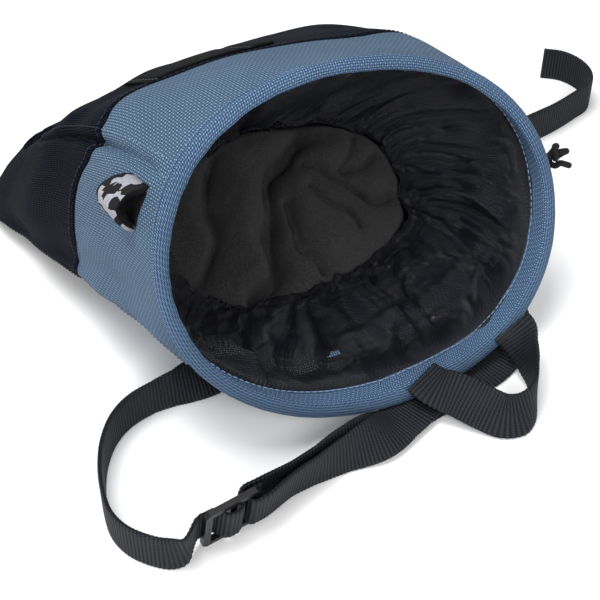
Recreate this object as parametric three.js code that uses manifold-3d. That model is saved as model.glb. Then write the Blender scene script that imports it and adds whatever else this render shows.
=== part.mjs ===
// Climbing chalk bag, lying on its back panel as it rests on a table.
// Millimetres, +Z up. The mouth looks to -Y, the base lies at +Y, the front panel is on top,
// and the floor is Z = 0. Angles are in degrees. An inset is a depth below the bag's outer face.
import * as THREE from "three";
import { mergeVertices } from "three/addons/utils/BufferGeometryUtils.js";
import Module from "manifold-3d";

// The bag's outer form
const MOUTH_WIDTH = 148;
const MOUTH_DEPTH = 113;
const MOUTH_LEAN = 28; // the mouth's front edge leans back from upright
const BASE_WIDTH = 148;
const BASE_DEPTH = 68;
const BASE_LEAN = -36;
const BACK_LENGTH = 178; // from the mouth's back edge to the base's back edge
const FRONT_PUFF = 11; // how far the stuffed front panel rises above a straight line
const BASE_BULGE = 9;
const MOUTH_BACK_Y = -33.6; // the mouth's back edge
const RIM_LIFT = 5.4; // the back panel stands this far off the floor, over the belt
const FLOOR_SAG = 2.2; // pressed flat on the floor by its own weight
const BLUE_SHARE = 0.47; // share of the bag's length that the upper band takes at its sides
const BLUE_TILT = 0.11; // its seam is this much nearer the mouth on the front panel

// Cloth and webbing
const SHELL_WALL = 1.6;
const SLEEVE_WALL = 1.0;
const FLEECE_WALL = 2.6;
const BINDING_WIDTH = 9;
const BINDING_PROUD = 0.8; // the binding stands off the cloth on both faces
const CLEAR = 0.3; // gap left between neighbouring pieces
const WEB_WIDTH = 15;
const WEB_THICK = 1.6;

// Inner parts
const SLEEVE_LENGTH = 50;
const SLEEVE_DROOP = 40; // the sleeve's hem hangs this far in from the front panel
const SLEEVE_FOLD = 2.6;
const FLEECE_START = 0.42; // share of the bag's length where the fleece begins
const FLEECE_FOLD = 9;

// Small parts
const TAB_LENGTH = 48;
const TAB_WIDTH = 16;
const TAB_THICK = 1.2;
const TAB_GAP = 3; // from the cloths' seam to the tab
const BRUSH_WIDTH = 11; // along the bag
const BRUSH_SKEW = 5; // the lower seam lies this much deeper than the upper one
const BRUSH_CHORD = 20; // between its two seams
const BRUSH_RISE = 9;
const BRUSH_THICK = 1.4;
const SLIDER_LENGTH = 19.5;
const SLIDER_THICK = 2;
const SLIDER_BAR = 2.5;
const SLIDER_RIM = 2;
const KEEPER_WIDTH = 25;
const KEEPER_THICK = 1.2;
const CORD_DIAMETER = 2.2;
const KNOT_SIZE = 8;

// Mesh counts
const AROUND = 60;

const root = new THREE.Group();
root.name = "climbing_chalk_bag";

// Cross sections of the bag from the mouth to the base. at and back are shares of BACK_LENGTH
// and of the front line, mix goes from the mouth's width to the base's, square is the
// superellipse exponent, roll turns the section in its own plane, lift, puff and shift are
// shares, and taper is the share by which the front is narrower than the back.
const SECTIONS = [
  { at: 0.0, back: 0.0, front: 0.0, mix: 0.0, square: 2.1, roll: -11, lift: 1, puff: 0, shift: 1, taper: 0 },
  { at: 0.2, back: 0.19, front: 0.18, mix: 0.35, square: 2.6, roll: -9, lift: 1, puff: 0.45, shift: 0.9, taper: 0 },
  { at: 0.4, back: 0.4, front: 0.38, mix: 1.1, square: 3.0, roll: -6, lift: 1, puff: 0.85, shift: 0.6, taper: 0.02 },
  { at: 0.6, back: 0.6, front: 0.59, mix: 1.5, square: 3.2, roll: -4, lift: 0.3, puff: 1, shift: 0.2, taper: 0.05 },
  { at: 0.8, back: 0.8, front: 0.8, mix: 1.3, square: 3.5, roll: 0, lift: 0, puff: 0.92, shift: -0.2, taper: 0.09 },
  { at: 1.0, back: 1.0, front: 1.0, mix: 1.0, square: 4.0, roll: 3, lift: 0, puff: 0.35, shift: -0.4, taper: 0.13 },
];
const SIDE_SHIFT = 3; // the mouth's middle sits a little to +X of the base's

const radians = THREE.MathUtils.degToRad;

// Value of one column of a table at a place, as a cubic that never overshoots its rows.
function column(table, key, at) {
  const last = table.length - 1;
  const x = Math.min(Math.max(at, table[0].at), table[last].at);
  let k = 0;
  while (k < last - 1 && x > table[k + 1].at) k += 1;
  const slope = (i) => (table[i + 1][key] - table[i][key]) / (table[i + 1].at - table[i].at);
  const tangent = (i) => {
    if (i === 0) return slope(0);
    if (i === last) return slope(last - 1);
    const before = slope(i - 1);
    const after = slope(i);
    return before * after <= 0 ? 0 : (2 * before * after) / (before + after);
  };
  const span = table[k + 1].at - table[k].at;
  const u = (x - table[k].at) / span;
  const v = 1 - u;
  return (
    (1 + 2 * u) * v * v * table[k][key] +
    u * v * v * span * tangent(k) +
    u * u * (3 - 2 * u) * table[k + 1][key] -
    u * u * v * span * tangent(k + 1)
  );
}

// The section at a share of the bag's length: its middle, its half sizes and its plane.
function section(at) {
  const lean = (deg) => new THREE.Vector3(0, Math.sin(radians(deg)), Math.cos(radians(deg)));
  const lift = column(SECTIONS, "lift", at);
  const back = new THREE.Vector3(
    0,
    MOUTH_BACK_Y + BACK_LENGTH * column(SECTIONS, "back", at),
    RIM_LIFT * lift - FLOOR_SAG * (1 - lift),
  );
  const mouthFront = new THREE.Vector3(0, MOUTH_BACK_Y, RIM_LIFT).addScaledVector(lean(MOUTH_LEAN), MOUTH_DEPTH);
  const baseFront = new THREE.Vector3(0, MOUTH_BACK_Y + BACK_LENGTH, -FLOOR_SAG).addScaledVector(
    lean(BASE_LEAN),
    BASE_DEPTH,
  );
  const run = baseFront.clone().sub(mouthFront);
  const out = new THREE.Vector3(0, -run.z, run.y).normalize();
  const front = mouthFront
    .clone()
    .addScaledVector(run, column(SECTIONS, "front", at))
    .addScaledVector(out, FRONT_PUFF * column(SECTIONS, "puff", at));
  const axis = front.clone().sub(back);
  const mix = column(SECTIONS, "mix", at);
  const middle = back.clone().add(front).multiplyScalar(0.5);
  middle.x = SIDE_SHIFT * column(SECTIONS, "shift", at);
  return {
    middle,
    axis: axis.clone().normalize(),
    halfWidth: (MOUTH_WIDTH + (BASE_WIDTH - MOUTH_WIDTH) * mix) / 2,
    halfDepth: axis.length() / 2,
    square: column(SECTIONS, "square", at),
    taper: column(SECTIONS, "taper", at),
    roll: radians(column(SECTIONS, "roll", at)),
    bed: RIM_LIFT * lift, // what the back panel lies on is this high
  };
}

// A point of the bag's wall. angle 0 is the +X side and 90 degrees the front panel's middle.
// share below 1 draws the section in towards its middle. The back panel lies flat on its bed.
function wallPoint(at, angle, inset = 0, share = 1) {
  const s = section(at);
  const power = 2 / s.square;
  const bend = (v) => Math.sign(v) * Math.abs(v) ** power;
  const narrow = 1 - s.taper * bend(Math.sin(angle));
  const across = (s.halfWidth - inset) * narrow * bend(Math.cos(angle)) * share;
  const along = (s.halfDepth - inset) * bend(Math.sin(angle)) * share;
  const x = across * Math.cos(s.roll) - along * Math.sin(s.roll);
  const v = across * Math.sin(s.roll) + along * Math.cos(s.roll);
  const point = s.middle.clone().addScaledVector(s.axis, v);
  point.x += x;
  point.z = Math.max(point.z, s.bed + inset);
  return point;
}

// Length of the wall from the mouth to the base at an angle round the bag.
function wallLength(angle) {
  const front = wallPoint(0, Math.PI / 2).distanceTo(wallPoint(1, Math.PI / 2));
  return (BACK_LENGTH + front) / 2 - ((BACK_LENGTH - front) / 2) * Math.sin(angle);
}

// One closed ring of points round the bag.
function ring(pointAt, count = AROUND) {
  return Array.from({ length: count }, (_, k) => pointAt((2 * Math.PI * k) / count));
}

// Joins rings of points into one closed skin. A ring of one point closes an end, and wrap joins
// the last ring to the first. Faces end up turned outwards.
function skin(rings, wrap = false) {
  const starts = [];
  let total = 0;
  for (const points of rings) {
    starts.push(total);
    total += points.length;
  }
  const index = [];
  const bands = wrap ? rings.length : rings.length - 1;
  for (let k = 0; k < bands; k += 1) {
    const next = (k + 1) % rings.length;
    const [a, b] = [rings[k].length, rings[next].length];
    const count = Math.max(a, b);
    for (let j = 0; j < count; j += 1) {
      const i = (j + 1) % count;
      const [p, q] = [starts[k] + (j % a), starts[k] + (i % a)];
      const [r, s] = [starts[next] + (j % b), starts[next] + (i % b)];
      if (b > 1) index.push(p, r, s);
      if (a > 1) index.push(p, s, q);
    }
  }
  const points = rings.flat();
  let volume = 0;
  for (let k = 0; k < index.length; k += 3) {
    const [a, b, c] = [points[index[k]], points[index[k + 1]], points[index[k + 2]]];
    volume += a.dot(b.clone().cross(c));
  }
  if (volume < 0) index.reverse();
  const geometry = new THREE.BufferGeometry().setFromPoints(points);
  geometry.setIndex(index);
  return geometry;
}

// Takes one solid away from another.
const { Manifold, Mesh } = await Module().then((wasm) => {
  wasm.setup();
  return wasm;
});
function solid(geometry) {
  const flat = geometry.index ? geometry.toNonIndexed() : geometry;
  const bare = new THREE.BufferGeometry().setAttribute("position", flat.getAttribute("position"));
  const closed = mergeVertices(bare, 1e-3);
  return new Manifold(new Mesh({
    numProp: 3,
    vertProperties: closed.attributes.position.array,
    triVerts: new Uint32Array(closed.index.array),
  }));
}
function subtract(from, cutter) {
  const mesh = solid(from).subtract(solid(cutter)).getMesh();
  const geometry = new THREE.BufferGeometry();
  geometry.setAttribute("position", new THREE.BufferAttribute(mesh.vertProperties, 3));
  geometry.setIndex(Array.from(mesh.triVerts));
  return geometry;
}

// Adds a named piece with its own material.
function piece(name, geometry, color, roughness, metalness = 0) {
  const bare = geometry.clone();
  for (const key of Object.keys(bare.attributes)) {
    if (key !== "position") bare.deleteAttribute(key);
  }
  const closed = mergeVertices(bare, 1e-3);
  closed.computeVertexNormals();
  const mesh = new THREE.Mesh(closed, new THREE.MeshStandardMaterial({ color, roughness, metalness }));
  mesh.name = name;
  root.add(mesh);
  return mesh;
}

// Evenly spaced values from one end to the other.
function spread(from, to, steps) {
  return Array.from({ length: steps + 1 }, (_, k) => from + ((to - from) * k) / steps);
}

// The seam between the two cloths, as a share of the bag's length
function blueShare(angle) {
  return BLUE_SHARE - BLUE_TILT * Math.sin(angle);
}

// Upper band: the blue cloth from under the binding to the seam with the lower body
{
  const start = (angle) => (BINDING_WIDTH + CLEAR) / wallLength(angle);
  const stations = spread(0, 1, 5);
  const face = (inset) => (share) => ring((angle) => {
    const from = start(angle);
    return wallPoint(from + (blueShare(angle) - from) * share, angle, inset);
  });
  const rings = [...stations.map(face(0)), ...stations.reverse().map(face(SHELL_WALL))];
  piece("upper_band", skin(rings, true), 0x59738e, 0.85);
}

// Lower body: the navy cup of the front, back, sides and base
const capRows = [
  { share: 0.97, bulge: 0.3 },
  { share: 0.88, bulge: 0.62 },
  { share: 0.66, bulge: 0.88 },
  { share: 0.3, bulge: 1 },
];
function capRings(inset) {
  const s = section(1);
  const out = new THREE.Vector3(0, s.axis.z, -s.axis.y);
  const push = (point, bulge) => {
    point.addScaledVector(out, BASE_BULGE * bulge);
    point.z = Math.max(point.z, inset);
    return point;
  };
  const rings = capRows.map((row) => ring((angle) => push(wallPoint(1, angle, inset, row.share), row.bulge)));
  const pole = s.middle.clone().addScaledVector(out, BASE_BULGE);
  rings.push([pole]);
  const inwards = inset * 0.96;
  for (const points of rings) for (const point of points) point.addScaledVector(out, -inwards);
  return rings;
}
{
  const from = (angle) => blueShare(angle) + CLEAR / wallLength(angle);
  const face = (to, inset) => spread(0, 1, 6).map((share) =>
    ring((angle) => wallPoint(from(angle) + (to - from(angle)) * share, angle, inset)));
  const outer = face(1, 0);
  const inner = face(0.985, SHELL_WALL);
  const rings = [...capRings(0).reverse(), ...outer.reverse(), ...inner, ...capRings(SHELL_WALL)];
  piece("lower_body", skin(rings), 0x2b323e, 0.85);
}

// Rim binding: a doubled strip folded over the mouth's edge
const bindingInner = SHELL_WALL + CLEAR + SLEEVE_WALL + BINDING_PROUD;
{
  const profile = [
    { depth: 1, inset: -BINDING_PROUD },
    { depth: 0.5, inset: -BINDING_PROUD },
    { depth: 0.06, inset: -BINDING_PROUD * 0.6 },
    { depth: 0, inset: bindingInner * 0.35 },
    { depth: 0.06, inset: bindingInner * 0.85 },
    { depth: 0.5, inset: bindingInner },
    { depth: 1, inset: bindingInner },
  ];
  const rings = profile.map((row) =>
    ring((angle) => wallPoint((row.depth * BINDING_WIDTH) / wallLength(angle), angle, row.inset)),
  );
  piece("rim_binding", skin(rings, true), 0x56749a, 0.8);
}

// Inner sleeve: thin nylon that hangs in folds from the binding and hides the fleece's edge
const sleeveFolds = [
  { waves: 5, height: 0.9, turn: 0.4 },
  { waves: 8, height: 0.7, turn: 2.1 },
  { waves: 13, height: 0.4, turn: 1.2 },
];
function foldWave(rows, angle, twist = 0) {
  return rows.reduce((sum, row) => sum + row.height * (0.5 + 0.5 * Math.sin(row.waves * angle + row.turn + twist)), 0);
}
function sleevePoint(share, angle, inset) {
  const depth = BINDING_WIDTH + CLEAR + share * SLEEVE_LENGTH;
  const droop = SLEEVE_DROOP * share ** 1.5 * (0.5 + 0.5 * Math.sin(angle - 0.45));
  const folds = SLEEVE_FOLD * share ** 0.7 * foldWave(sleeveFolds, angle, 1.4 * share);
  const at = depth / wallLength(angle);
  const deepest = section(at).halfDepth - 3 * SLEEVE_WALL;
  return wallPoint(at, angle, Math.min(SHELL_WALL + CLEAR + droop + folds, deepest) + inset);
}
{
  const stations = spread(0, 1, 6);
  const face = (inset) => (share) => ring((angle) => sleevePoint(share, angle, inset));
  const rings = [...stations.map(face(0)), ...stations.reverse().map(face(SLEEVE_WALL))];
  piece("inner_sleeve", skin(rings, true), 0x23242b, 0.5);
}

// Fleece lining: the soft cup that holds the chalk, in deep folds over the base
const fleeceFolds = [
  { waves: 3, height: 0.55, turn: 0.9 },
  { waves: 5, height: 0.35, turn: 2.6 },
  { waves: 9, height: 0.18, turn: 0.3 },
];
{
  const room = SHELL_WALL + CLEAR;
  const from = (angle) => Math.max(
    FLEECE_START,
    (BINDING_WIDTH + SLEEVE_LENGTH + 3 * CLEAR) / wallLength(angle) + 0.01,
  );
  const fold = (share, angle) => FLEECE_FOLD * Math.sin(Math.PI * Math.min(share, 0.62) * 0.8) *
    foldWave(fleeceFolds, angle, 2.2 * share);
  const face = (inset) => (share) => ring((angle) => {
    const start = from(angle);
    return wallPoint(start + (0.93 - start) * share, angle, room + fold(share, angle) + inset);
  });
  const stations = spread(0, 1, 5);
  const floor = (inset) => {
    const s = section(0.93);
    const out = new THREE.Vector3(0, s.axis.z, -s.axis.y);
    const rings = [0.8, 0.45].map((share) => ring((angle) => {
      const point = wallPoint(0.93, angle, room + fold(1, angle) + inset, share);
      return point.addScaledVector(out, (BASE_BULGE * 0.5 - inset) * (1 - share * share));
    }));
    rings.push([s.middle.clone().addScaledVector(out, BASE_BULGE * 0.5 - inset)]);
    return rings;
  };
  const outer = stations.map(face(0));
  const inner = stations.map(face(FLEECE_WALL));
  const rings = [...floor(0).reverse(), ...outer.reverse(), ...inner, ...floor(FLEECE_WALL)];
  piece("fleece_lining", skin(rings), 0x2e2e2e, 1);
}

// A strip of cloth or webbing along rows of a route. lean turns its width from upright (0) to
// flat (90), and lift is the height of its lowest edge. A row on the slider has its place ready.
const up = new THREE.Vector3(0, 0, 1);
function stripStations(rows, width, thickness) {
  return rows.map((row, k) => {
    if (row.middle) return row;
    const before = rows[Math.max(k - 1, 0)];
    const after = rows[Math.min(k + 1, rows.length - 1)];
    const side = new THREE.Vector3(after.y - before.y, before.x - after.x, 0).normalize();
    const lean = radians(row.lean);
    const height = (width / 2) * Math.abs(Math.cos(lean)) + (thickness / 2) * Math.abs(Math.sin(lean));
    return {
      middle: new THREE.Vector3(row.x, row.y, row.lift + height),
      wide: up.clone().multiplyScalar(Math.cos(lean)).addScaledVector(side, Math.sin(lean)),
    };
  });
}
function strip(rows, width, thickness, steps = 4) {
  const stations = stripStations(rows, width, thickness);
  const path = new THREE.CatmullRomCurve3(stations.map((s) => s.middle), false, "centripetal");
  const spans = stations.length - 1;
  const rings = [];
  for (let k = 0; k <= spans * steps; k += 1) {
    const at = k / (spans * steps);
    const low = Math.min(Math.floor(k / steps), spans - 1);
    const along = path.getTangent(at);
    const wide = stations[low].wide.clone().lerp(stations[low + 1].wide, k / steps - low);
    wide.addScaledVector(along, -wide.dot(along)).normalize();
    const normal = wide.clone().cross(along);
    const corner = (a, b) => {
      const point = path.getPoint(at).addScaledVector(wide, (a * width) / 2).addScaledVector(normal, (b * thickness) / 2);
      point.z = Math.max(point.z, 0);
      return point;
    };
    rings.push([corner(-1, -1), corner(1, -1), corner(1, 1), corner(-1, 1)]);
  }
  const centre = (points) => [points.reduce((sum, p) => sum.add(p), new THREE.Vector3()).multiplyScalar(0.25)];
  return skin([centre(rings[0]), ...rings, centre(rings[rings.length - 1])]);
}

// Places on the table: across is a share of half the mouth's width, and along a share of the
// back length from the mouth's back edge.
const place = (row) => ({
  ...row,
  x: (row.across * MOUTH_WIDTH) / 2,
  y: MOUTH_BACK_Y + row.along * BACK_LENGTH,
});

// The slider's own frame on the belt: u runs along the strap towards the bag, off lifts a strap
// off the plate towards the viewer
const sliderLean = radians(-12);
const sliderAlong = new THREE.Vector3(-1, -0.03, 0).normalize();
const sliderSide = new THREE.Vector3(sliderAlong.y, -sliderAlong.x, 0);
const sliderWide = up.clone().multiplyScalar(Math.cos(sliderLean)).addScaledVector(sliderSide, Math.sin(sliderLean));
const sliderNormal = sliderWide.clone().cross(sliderAlong);
const layer = SLIDER_THICK / 2 + CLEAR + WEB_THICK / 2; // a strap's middle above a bar
const next = WEB_THICK + CLEAR; // a strap's middle above the strap below it
const sliderMiddle = place({ across: -1.02, along: -0.074 });
const sliderCentre = new THREE.Vector3(
  sliderMiddle.x,
  sliderMiddle.y,
  (WEB_WIDTH / 2 + CLEAR + SLIDER_RIM) * Math.cos(sliderLean) + (SLIDER_THICK / 2) * Math.sin(-sliderLean),
);
function onSlider(u, off) {
  const middle = sliderCentre.clone().addScaledVector(sliderAlong, -u).addScaledVector(sliderNormal, off);
  return { middle, wide: sliderWide, x: middle.x, y: middle.y };
}
const barEnd = SLIDER_LENGTH / 2 - SLIDER_BAR; // inner face of an end bar
const barMiddle = SLIDER_LENGTH / 2 - SLIDER_BAR / 2;
const slotMiddle = (barEnd + SLIDER_BAR / 2) / 2;

// Belt: one strap from its free end, past the mouth, through the slider, round its loop and
// back under the bag into the keeper
const keeperLift = KEEPER_THICK + 2 * CLEAR;
const beltAway = [
  { across: 2.303, along: 0.726, lean: 0, lift: 0 },
  { across: 2.38, along: 0.69, lean: 0, lift: 0 },
  { across: 2.405, along: 0.64, lean: 0, lift: 0 },
  { across: 2.375, along: 0.59, lean: 0, lift: 0 },
  { across: 2.3, along: 0.557, lean: 0, lift: 0 },
  { across: 2.18, along: 0.545, lean: 0, lift: 0 },
  { across: 1.98, along: 0.531, lean: 0, lift: 0 },
  { across: 1.737, along: 0.526, lean: 0, lift: 0 },
  { across: 1.5, along: 0.51, lean: 6, lift: 0 },
  { across: 1.3, along: 0.475, lean: 25, lift: 0 },
  { across: 1.13, along: 0.415, lean: 55, lift: 0 },
  { across: 1.0, along: 0.32, lean: 76, lift: 0.1 },
  { across: 0.91, along: 0.21, lean: 80, lift: 0.1 },
  { across: 0.82, along: 0.115, lean: 76, lift: 0.1 },
  { across: 0.7, along: 0.04, lean: 80, lift: 0.1 },
  { across: 0.5, along: 0.0, lean: 90, lift: 0.1 },
  { across: 0.25, along: -0.008, lean: 90, lift: 0.1 },
  { across: 0.05, along: -0.012, lean: 90, lift: 0.1 },
  { across: -0.1, along: -0.02, lean: 88, lift: 0.1 },
  { across: -0.24, along: -0.037, lean: 52, lift: 0 },
  { across: -0.4, along: -0.037, lean: 15, lift: 0 },
  { across: -0.56, along: -0.04, lean: -4, lift: 0.4 },
  { across: -0.7, along: -0.045, lean: -10, lift: 1.2 },
].map(place);
const beltInSlider = [
  onSlider(SLIDER_LENGTH / 2 + 1, -layer - next),
  onSlider(barEnd - 1, -layer - next),
  onSlider(slotMiddle, -layer - 0.4),
  onSlider(slotMiddle - 0.8, 0),
  onSlider(SLIDER_BAR / 2 + 0.6, layer - 0.1),
  onSlider(0, layer + 0.1),
  onSlider(-SLIDER_BAR / 2 - 0.8, layer - 0.2),
  onSlider(-slotMiddle + 0.6, 0),
  onSlider(-slotMiddle - 0.6, -layer + 0.3),
  onSlider(-barEnd - 0.6, -layer - 0.1),
  onSlider(-SLIDER_LENGTH / 2 - 1, -layer),
];
const beltLoop = [
  { across: -1.25, along: -0.084, lean: -6, lift: 0.6 },
  { across: -1.31, along: -0.074, lean: 0, lift: 0 },
  { across: -1.37, along: -0.048, lean: 0, lift: 0 },
  { across: -1.42, along: -0.01, lean: 0, lift: 0 },
  { across: -1.435, along: 0.034, lean: 0, lift: 0 },
  { across: -1.405, along: 0.087, lean: 0, lift: 0 },
  { across: -1.355, along: 0.137, lean: 0, lift: 0 },
  { across: -1.288, along: 0.182, lean: 0, lift: 0 },
  { across: -1.195, along: 0.222, lean: 0, lift: 0 },
  { across: -1.09, along: 0.245, lean: 0, lift: 0 },
  { across: -0.96, along: 0.253, lean: 0, lift: 0 },
  { across: -0.853, along: 0.252, lean: -8, lift: 0 },
  { across: -0.75, along: 0.254, lean: -30, lift: 0 },
  { across: -0.62, along: 0.264, lean: -64, lift: 0.1 },
  { across: -0.44, along: 0.284, lean: -90, lift: 0.3 },
  { across: -0.24, along: 0.296, lean: -90, lift: keeperLift },
  { across: 0.24, along: 0.3, lean: -90, lift: keeperLift },
].map(place);
piece("belt", strip([...beltAway, ...beltInSlider, ...beltLoop], WEB_WIDTH, WEB_THICK), 0x2c2f36, 0.75);

// Belt tail: the strap's other layer, from under the bag to its fold round the slider's bar
const overBelt = WEB_THICK + 2 * CLEAR;
const tailRun = [
  { across: 0.2, along: 0.12, lean: 90, lift: overBelt },
  { across: 0.195, along: 0.06, lean: 90, lift: overBelt },
  { across: 0.15, along: 0.005, lean: 90, lift: overBelt },
  { across: 0.03, along: -0.018, lean: 90, lift: overBelt },
  { across: -0.1, along: -0.034, lean: 84, lift: overBelt },
  { across: -0.24, along: -0.055, lean: 47, lift: 1.2 },
  { across: -0.41, along: -0.056, lean: 12, lift: 0 },
  { across: -0.58, along: -0.06, lean: -5, lift: 0.4 },
  { across: -0.7, along: -0.066, lean: -10, lift: 1.2 },
].map(place);
const tailFold = [
  onSlider(SLIDER_LENGTH / 2 + 2, layer),
  onSlider(barMiddle, layer),
  onSlider(barEnd - 0.6, layer * 0.88),
  onSlider(barEnd - CLEAR - WEB_THICK / 2, 0),
  onSlider(barEnd - 0.6, -layer * 0.88),
  onSlider(barMiddle, -layer),
  onSlider(SLIDER_LENGTH / 2 + 2, -layer),
];
piece("belt_tail", strip([...tailRun, ...tailFold], WEB_WIDTH, WEB_THICK), 0x2c2f36, 0.75);

// Belt slider: a flat plastic frame with a middle bar
{
  const half = { x: SLIDER_LENGTH / 2, y: WEB_WIDTH / 2 + CLEAR + SLIDER_RIM };
  const corner = 1.5;
  const outline = [
    [-half.x + corner, -half.y], [half.x - corner, -half.y], [half.x, -half.y + corner], [half.x, half.y - corner],
    [half.x - corner, half.y], [-half.x + corner, half.y], [-half.x, half.y - corner], [-half.x, -half.y + corner],
  ];
  const shape = new THREE.Shape(outline.map(([x, y]) => new THREE.Vector2(x, y)));
  const plate = new THREE.ExtrudeGeometry(shape, { depth: SLIDER_THICK, bevelEnabled: false });
  plate.translate(0, 0, -SLIDER_THICK / 2);
  const slots = [-1, 1].map((side) => {
    const slot = new THREE.BoxGeometry(barEnd - SLIDER_BAR / 2, WEB_WIDTH + 2 * CLEAR, 2 * SLIDER_THICK);
    return slot.translate((side * (barEnd + SLIDER_BAR / 2)) / 2, 0, 0);
  });
  const frame = slots.reduce(subtract, plate);
  const basis = new THREE.Matrix4().makeBasis(sliderAlong.clone().negate(), sliderWide, sliderNormal);
  basis.setPosition(sliderCentre);
  piece("belt_slider", frame.applyMatrix4(basis), 0x15161a, 0.45);
}

// Belt keeper: a plain flat loop on the back panel, hidden under the bag
{
  const middle = MOUTH_BACK_Y + 0.298 * BACK_LENGTH;
  const reach = WEB_WIDTH / 2 + 2;
  const foot = 5;
  const top = RIM_LIFT - CLEAR;
  const low = 0;
  const profile = [
    [-reach - foot, top - KEEPER_THICK],
    [-reach - KEEPER_THICK, top - KEEPER_THICK],
    [-reach - KEEPER_THICK, low],
    [reach + KEEPER_THICK, low],
    [reach + KEEPER_THICK, top - KEEPER_THICK],
    [reach + foot, top - KEEPER_THICK],
    [reach + foot, top],
    [reach, top],
    [reach, low + KEEPER_THICK],
    [-reach, low + KEEPER_THICK],
    [-reach, top],
    [-reach - foot, top],
  ];
  const shape = new THREE.Shape(profile.map(([y, z]) => new THREE.Vector2(y, z)));
  const loop = new THREE.ExtrudeGeometry(shape, { depth: KEEPER_WIDTH, bevelEnabled: false });
  const basis = new THREE.Matrix4().makeBasis(new THREE.Vector3(0, 1, 0), up, new THREE.Vector3(1, 0, 0));
  basis.setPosition(-KEEPER_WIDTH / 2, middle, 0);
  piece("belt_keeper", loop.applyMatrix4(basis), 0x24272e, 0.8);
}

// Haul loop: webbing sewn into the binding at both ends, standing out on the table
const haulRows = [
  { across: 0.1, along: 0.012, lean: -86, lift: 9.2 },
  { across: 0.125, along: -0.02, lean: -76, lift: 7 },
  { across: 0.18, along: -0.055, lean: -60, lift: 4.6 },
  { across: 0.245, along: -0.1, lean: -48, lift: 1.6 },
  { across: 0.3, along: -0.135, lean: -40, lift: 0.1 },
  { across: 0.36, along: -0.15, lean: -30, lift: 0 },
  { across: 0.43, along: -0.146, lean: -16, lift: 0 },
  { across: 0.49, along: -0.128, lean: -6, lift: 0 },
  { across: 0.55, along: -0.09, lean: 4, lift: 1.5 },
  { across: 0.59, along: -0.045, lean: 20, lift: 4.6 },
  { across: 0.61, along: -0.012, lean: 44, lift: 8 },
  { across: 0.61, along: 0.008, lean: 58, lift: 10 },
].map(place);
piece("haul_loop", strip(haulRows, WEB_WIDTH, WEB_THICK), 0x2c2f36, 0.75);

// Name tab: a blank woven strip over the front seam, stitched at both ends
{
  const at = blueShare(Math.PI / 2) + (TAB_GAP + TAB_WIDTH / 2) / wallLength(Math.PI / 2);
  const turn = TAB_LENGTH / section(at).halfWidth / 1.21;
  const centre = Math.PI / 2 + 0.27;
  const half = TAB_WIDTH / 2 / wallLength(Math.PI / 2);
  const across = spread(centre + turn / 2, centre - turn / 2, 10);
  const rings = across.map((angle) => {
    const corner = (end, lift) => wallPoint(at + end * half, angle, -lift);
    const low = CLEAR + 0.1;
    return [corner(-1, low), corner(1, low), corner(1, low + TAB_THICK), corner(-1, low + TAB_THICK)];
  });
  const middle = (points) => [points.reduce((sum, p) => sum.add(p), new THREE.Vector3()).multiplyScalar(0.25)];
  piece("name_tab", skin([middle(rings[0]), ...rings, middle(rings[rings.length - 1])]), 0x16181c, 0.8);
}

// Brush loop: a short arch of printed webbing on the side, open along the bag
{
  const angle = radians(165);
  const from = 0.08;
  const girth = section(from).halfWidth;
  const half = BRUSH_CHORD / 2 / girth;
  const arch = (along, share, rise) => {
    const at = from + (BRUSH_WIDTH * along + (BRUSH_SKEW * (share + 1)) / 2) / wallLength(angle);
    const foot = wallPoint(at, angle + half * share, -CLEAR);
    const out = wallPoint(at, angle, -BRUSH_RISE).sub(wallPoint(at, angle, 0)).normalize();
    return foot.addScaledVector(out, rise);
  };
  const turns = spread(-1, 1, 10);
  const outline = (along) => [
    ...turns.map((t) => arch(along, t * 0.93, (BRUSH_RISE - BRUSH_THICK) * Math.sqrt(Math.max(0, 1 - t * t)))),
    ...turns.map((t) => arch(along, -t * 1.07, BRUSH_RISE * Math.sqrt(Math.max(0, 1 - t * t)) + 0.01)),
  ];
  const rings = spread(0, 1, 3).map(outline);
  piece("brush_loop", skinWithEnds(rings), 0x4a4c4e, 0.8);
}

// Skin whose two ends are strips between the first and the second half of their points.
function skinWithEnds(rings) {
  const count = rings[0].length;
  const index = [];
  for (let k = 0; k < rings.length - 1; k += 1) {
    for (let j = 0; j < count; j += 1) {
      const i = (j + 1) % count;
      const [p, q, r, s] = [k * count + j, k * count + i, (k + 1) * count + j, (k + 1) * count + i];
      index.push(p, r, s, p, s, q);
    }
  }
  const last = (rings.length - 1) * count;
  for (let j = 0; j < count / 2 - 1; j += 1) {
    const [a, b, c, d] = [j, j + 1, count - 2 - j, count - 1 - j];
    index.push(a, b, c, a, c, d);
    index.push(last + a, last + c, last + b, last + a, last + d, last + c);
  }
  const points = rings.flat();
  let volume = 0;
  for (let k = 0; k < index.length; k += 3) {
    volume += points[index[k]].dot(points[index[k + 1]].clone().cross(points[index[k + 2]]));
  }
  if (volume < 0) index.reverse();
  const geometry = new THREE.BufferGeometry().setFromPoints(points);
  geometry.setIndex(index);
  return geometry;
}

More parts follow.
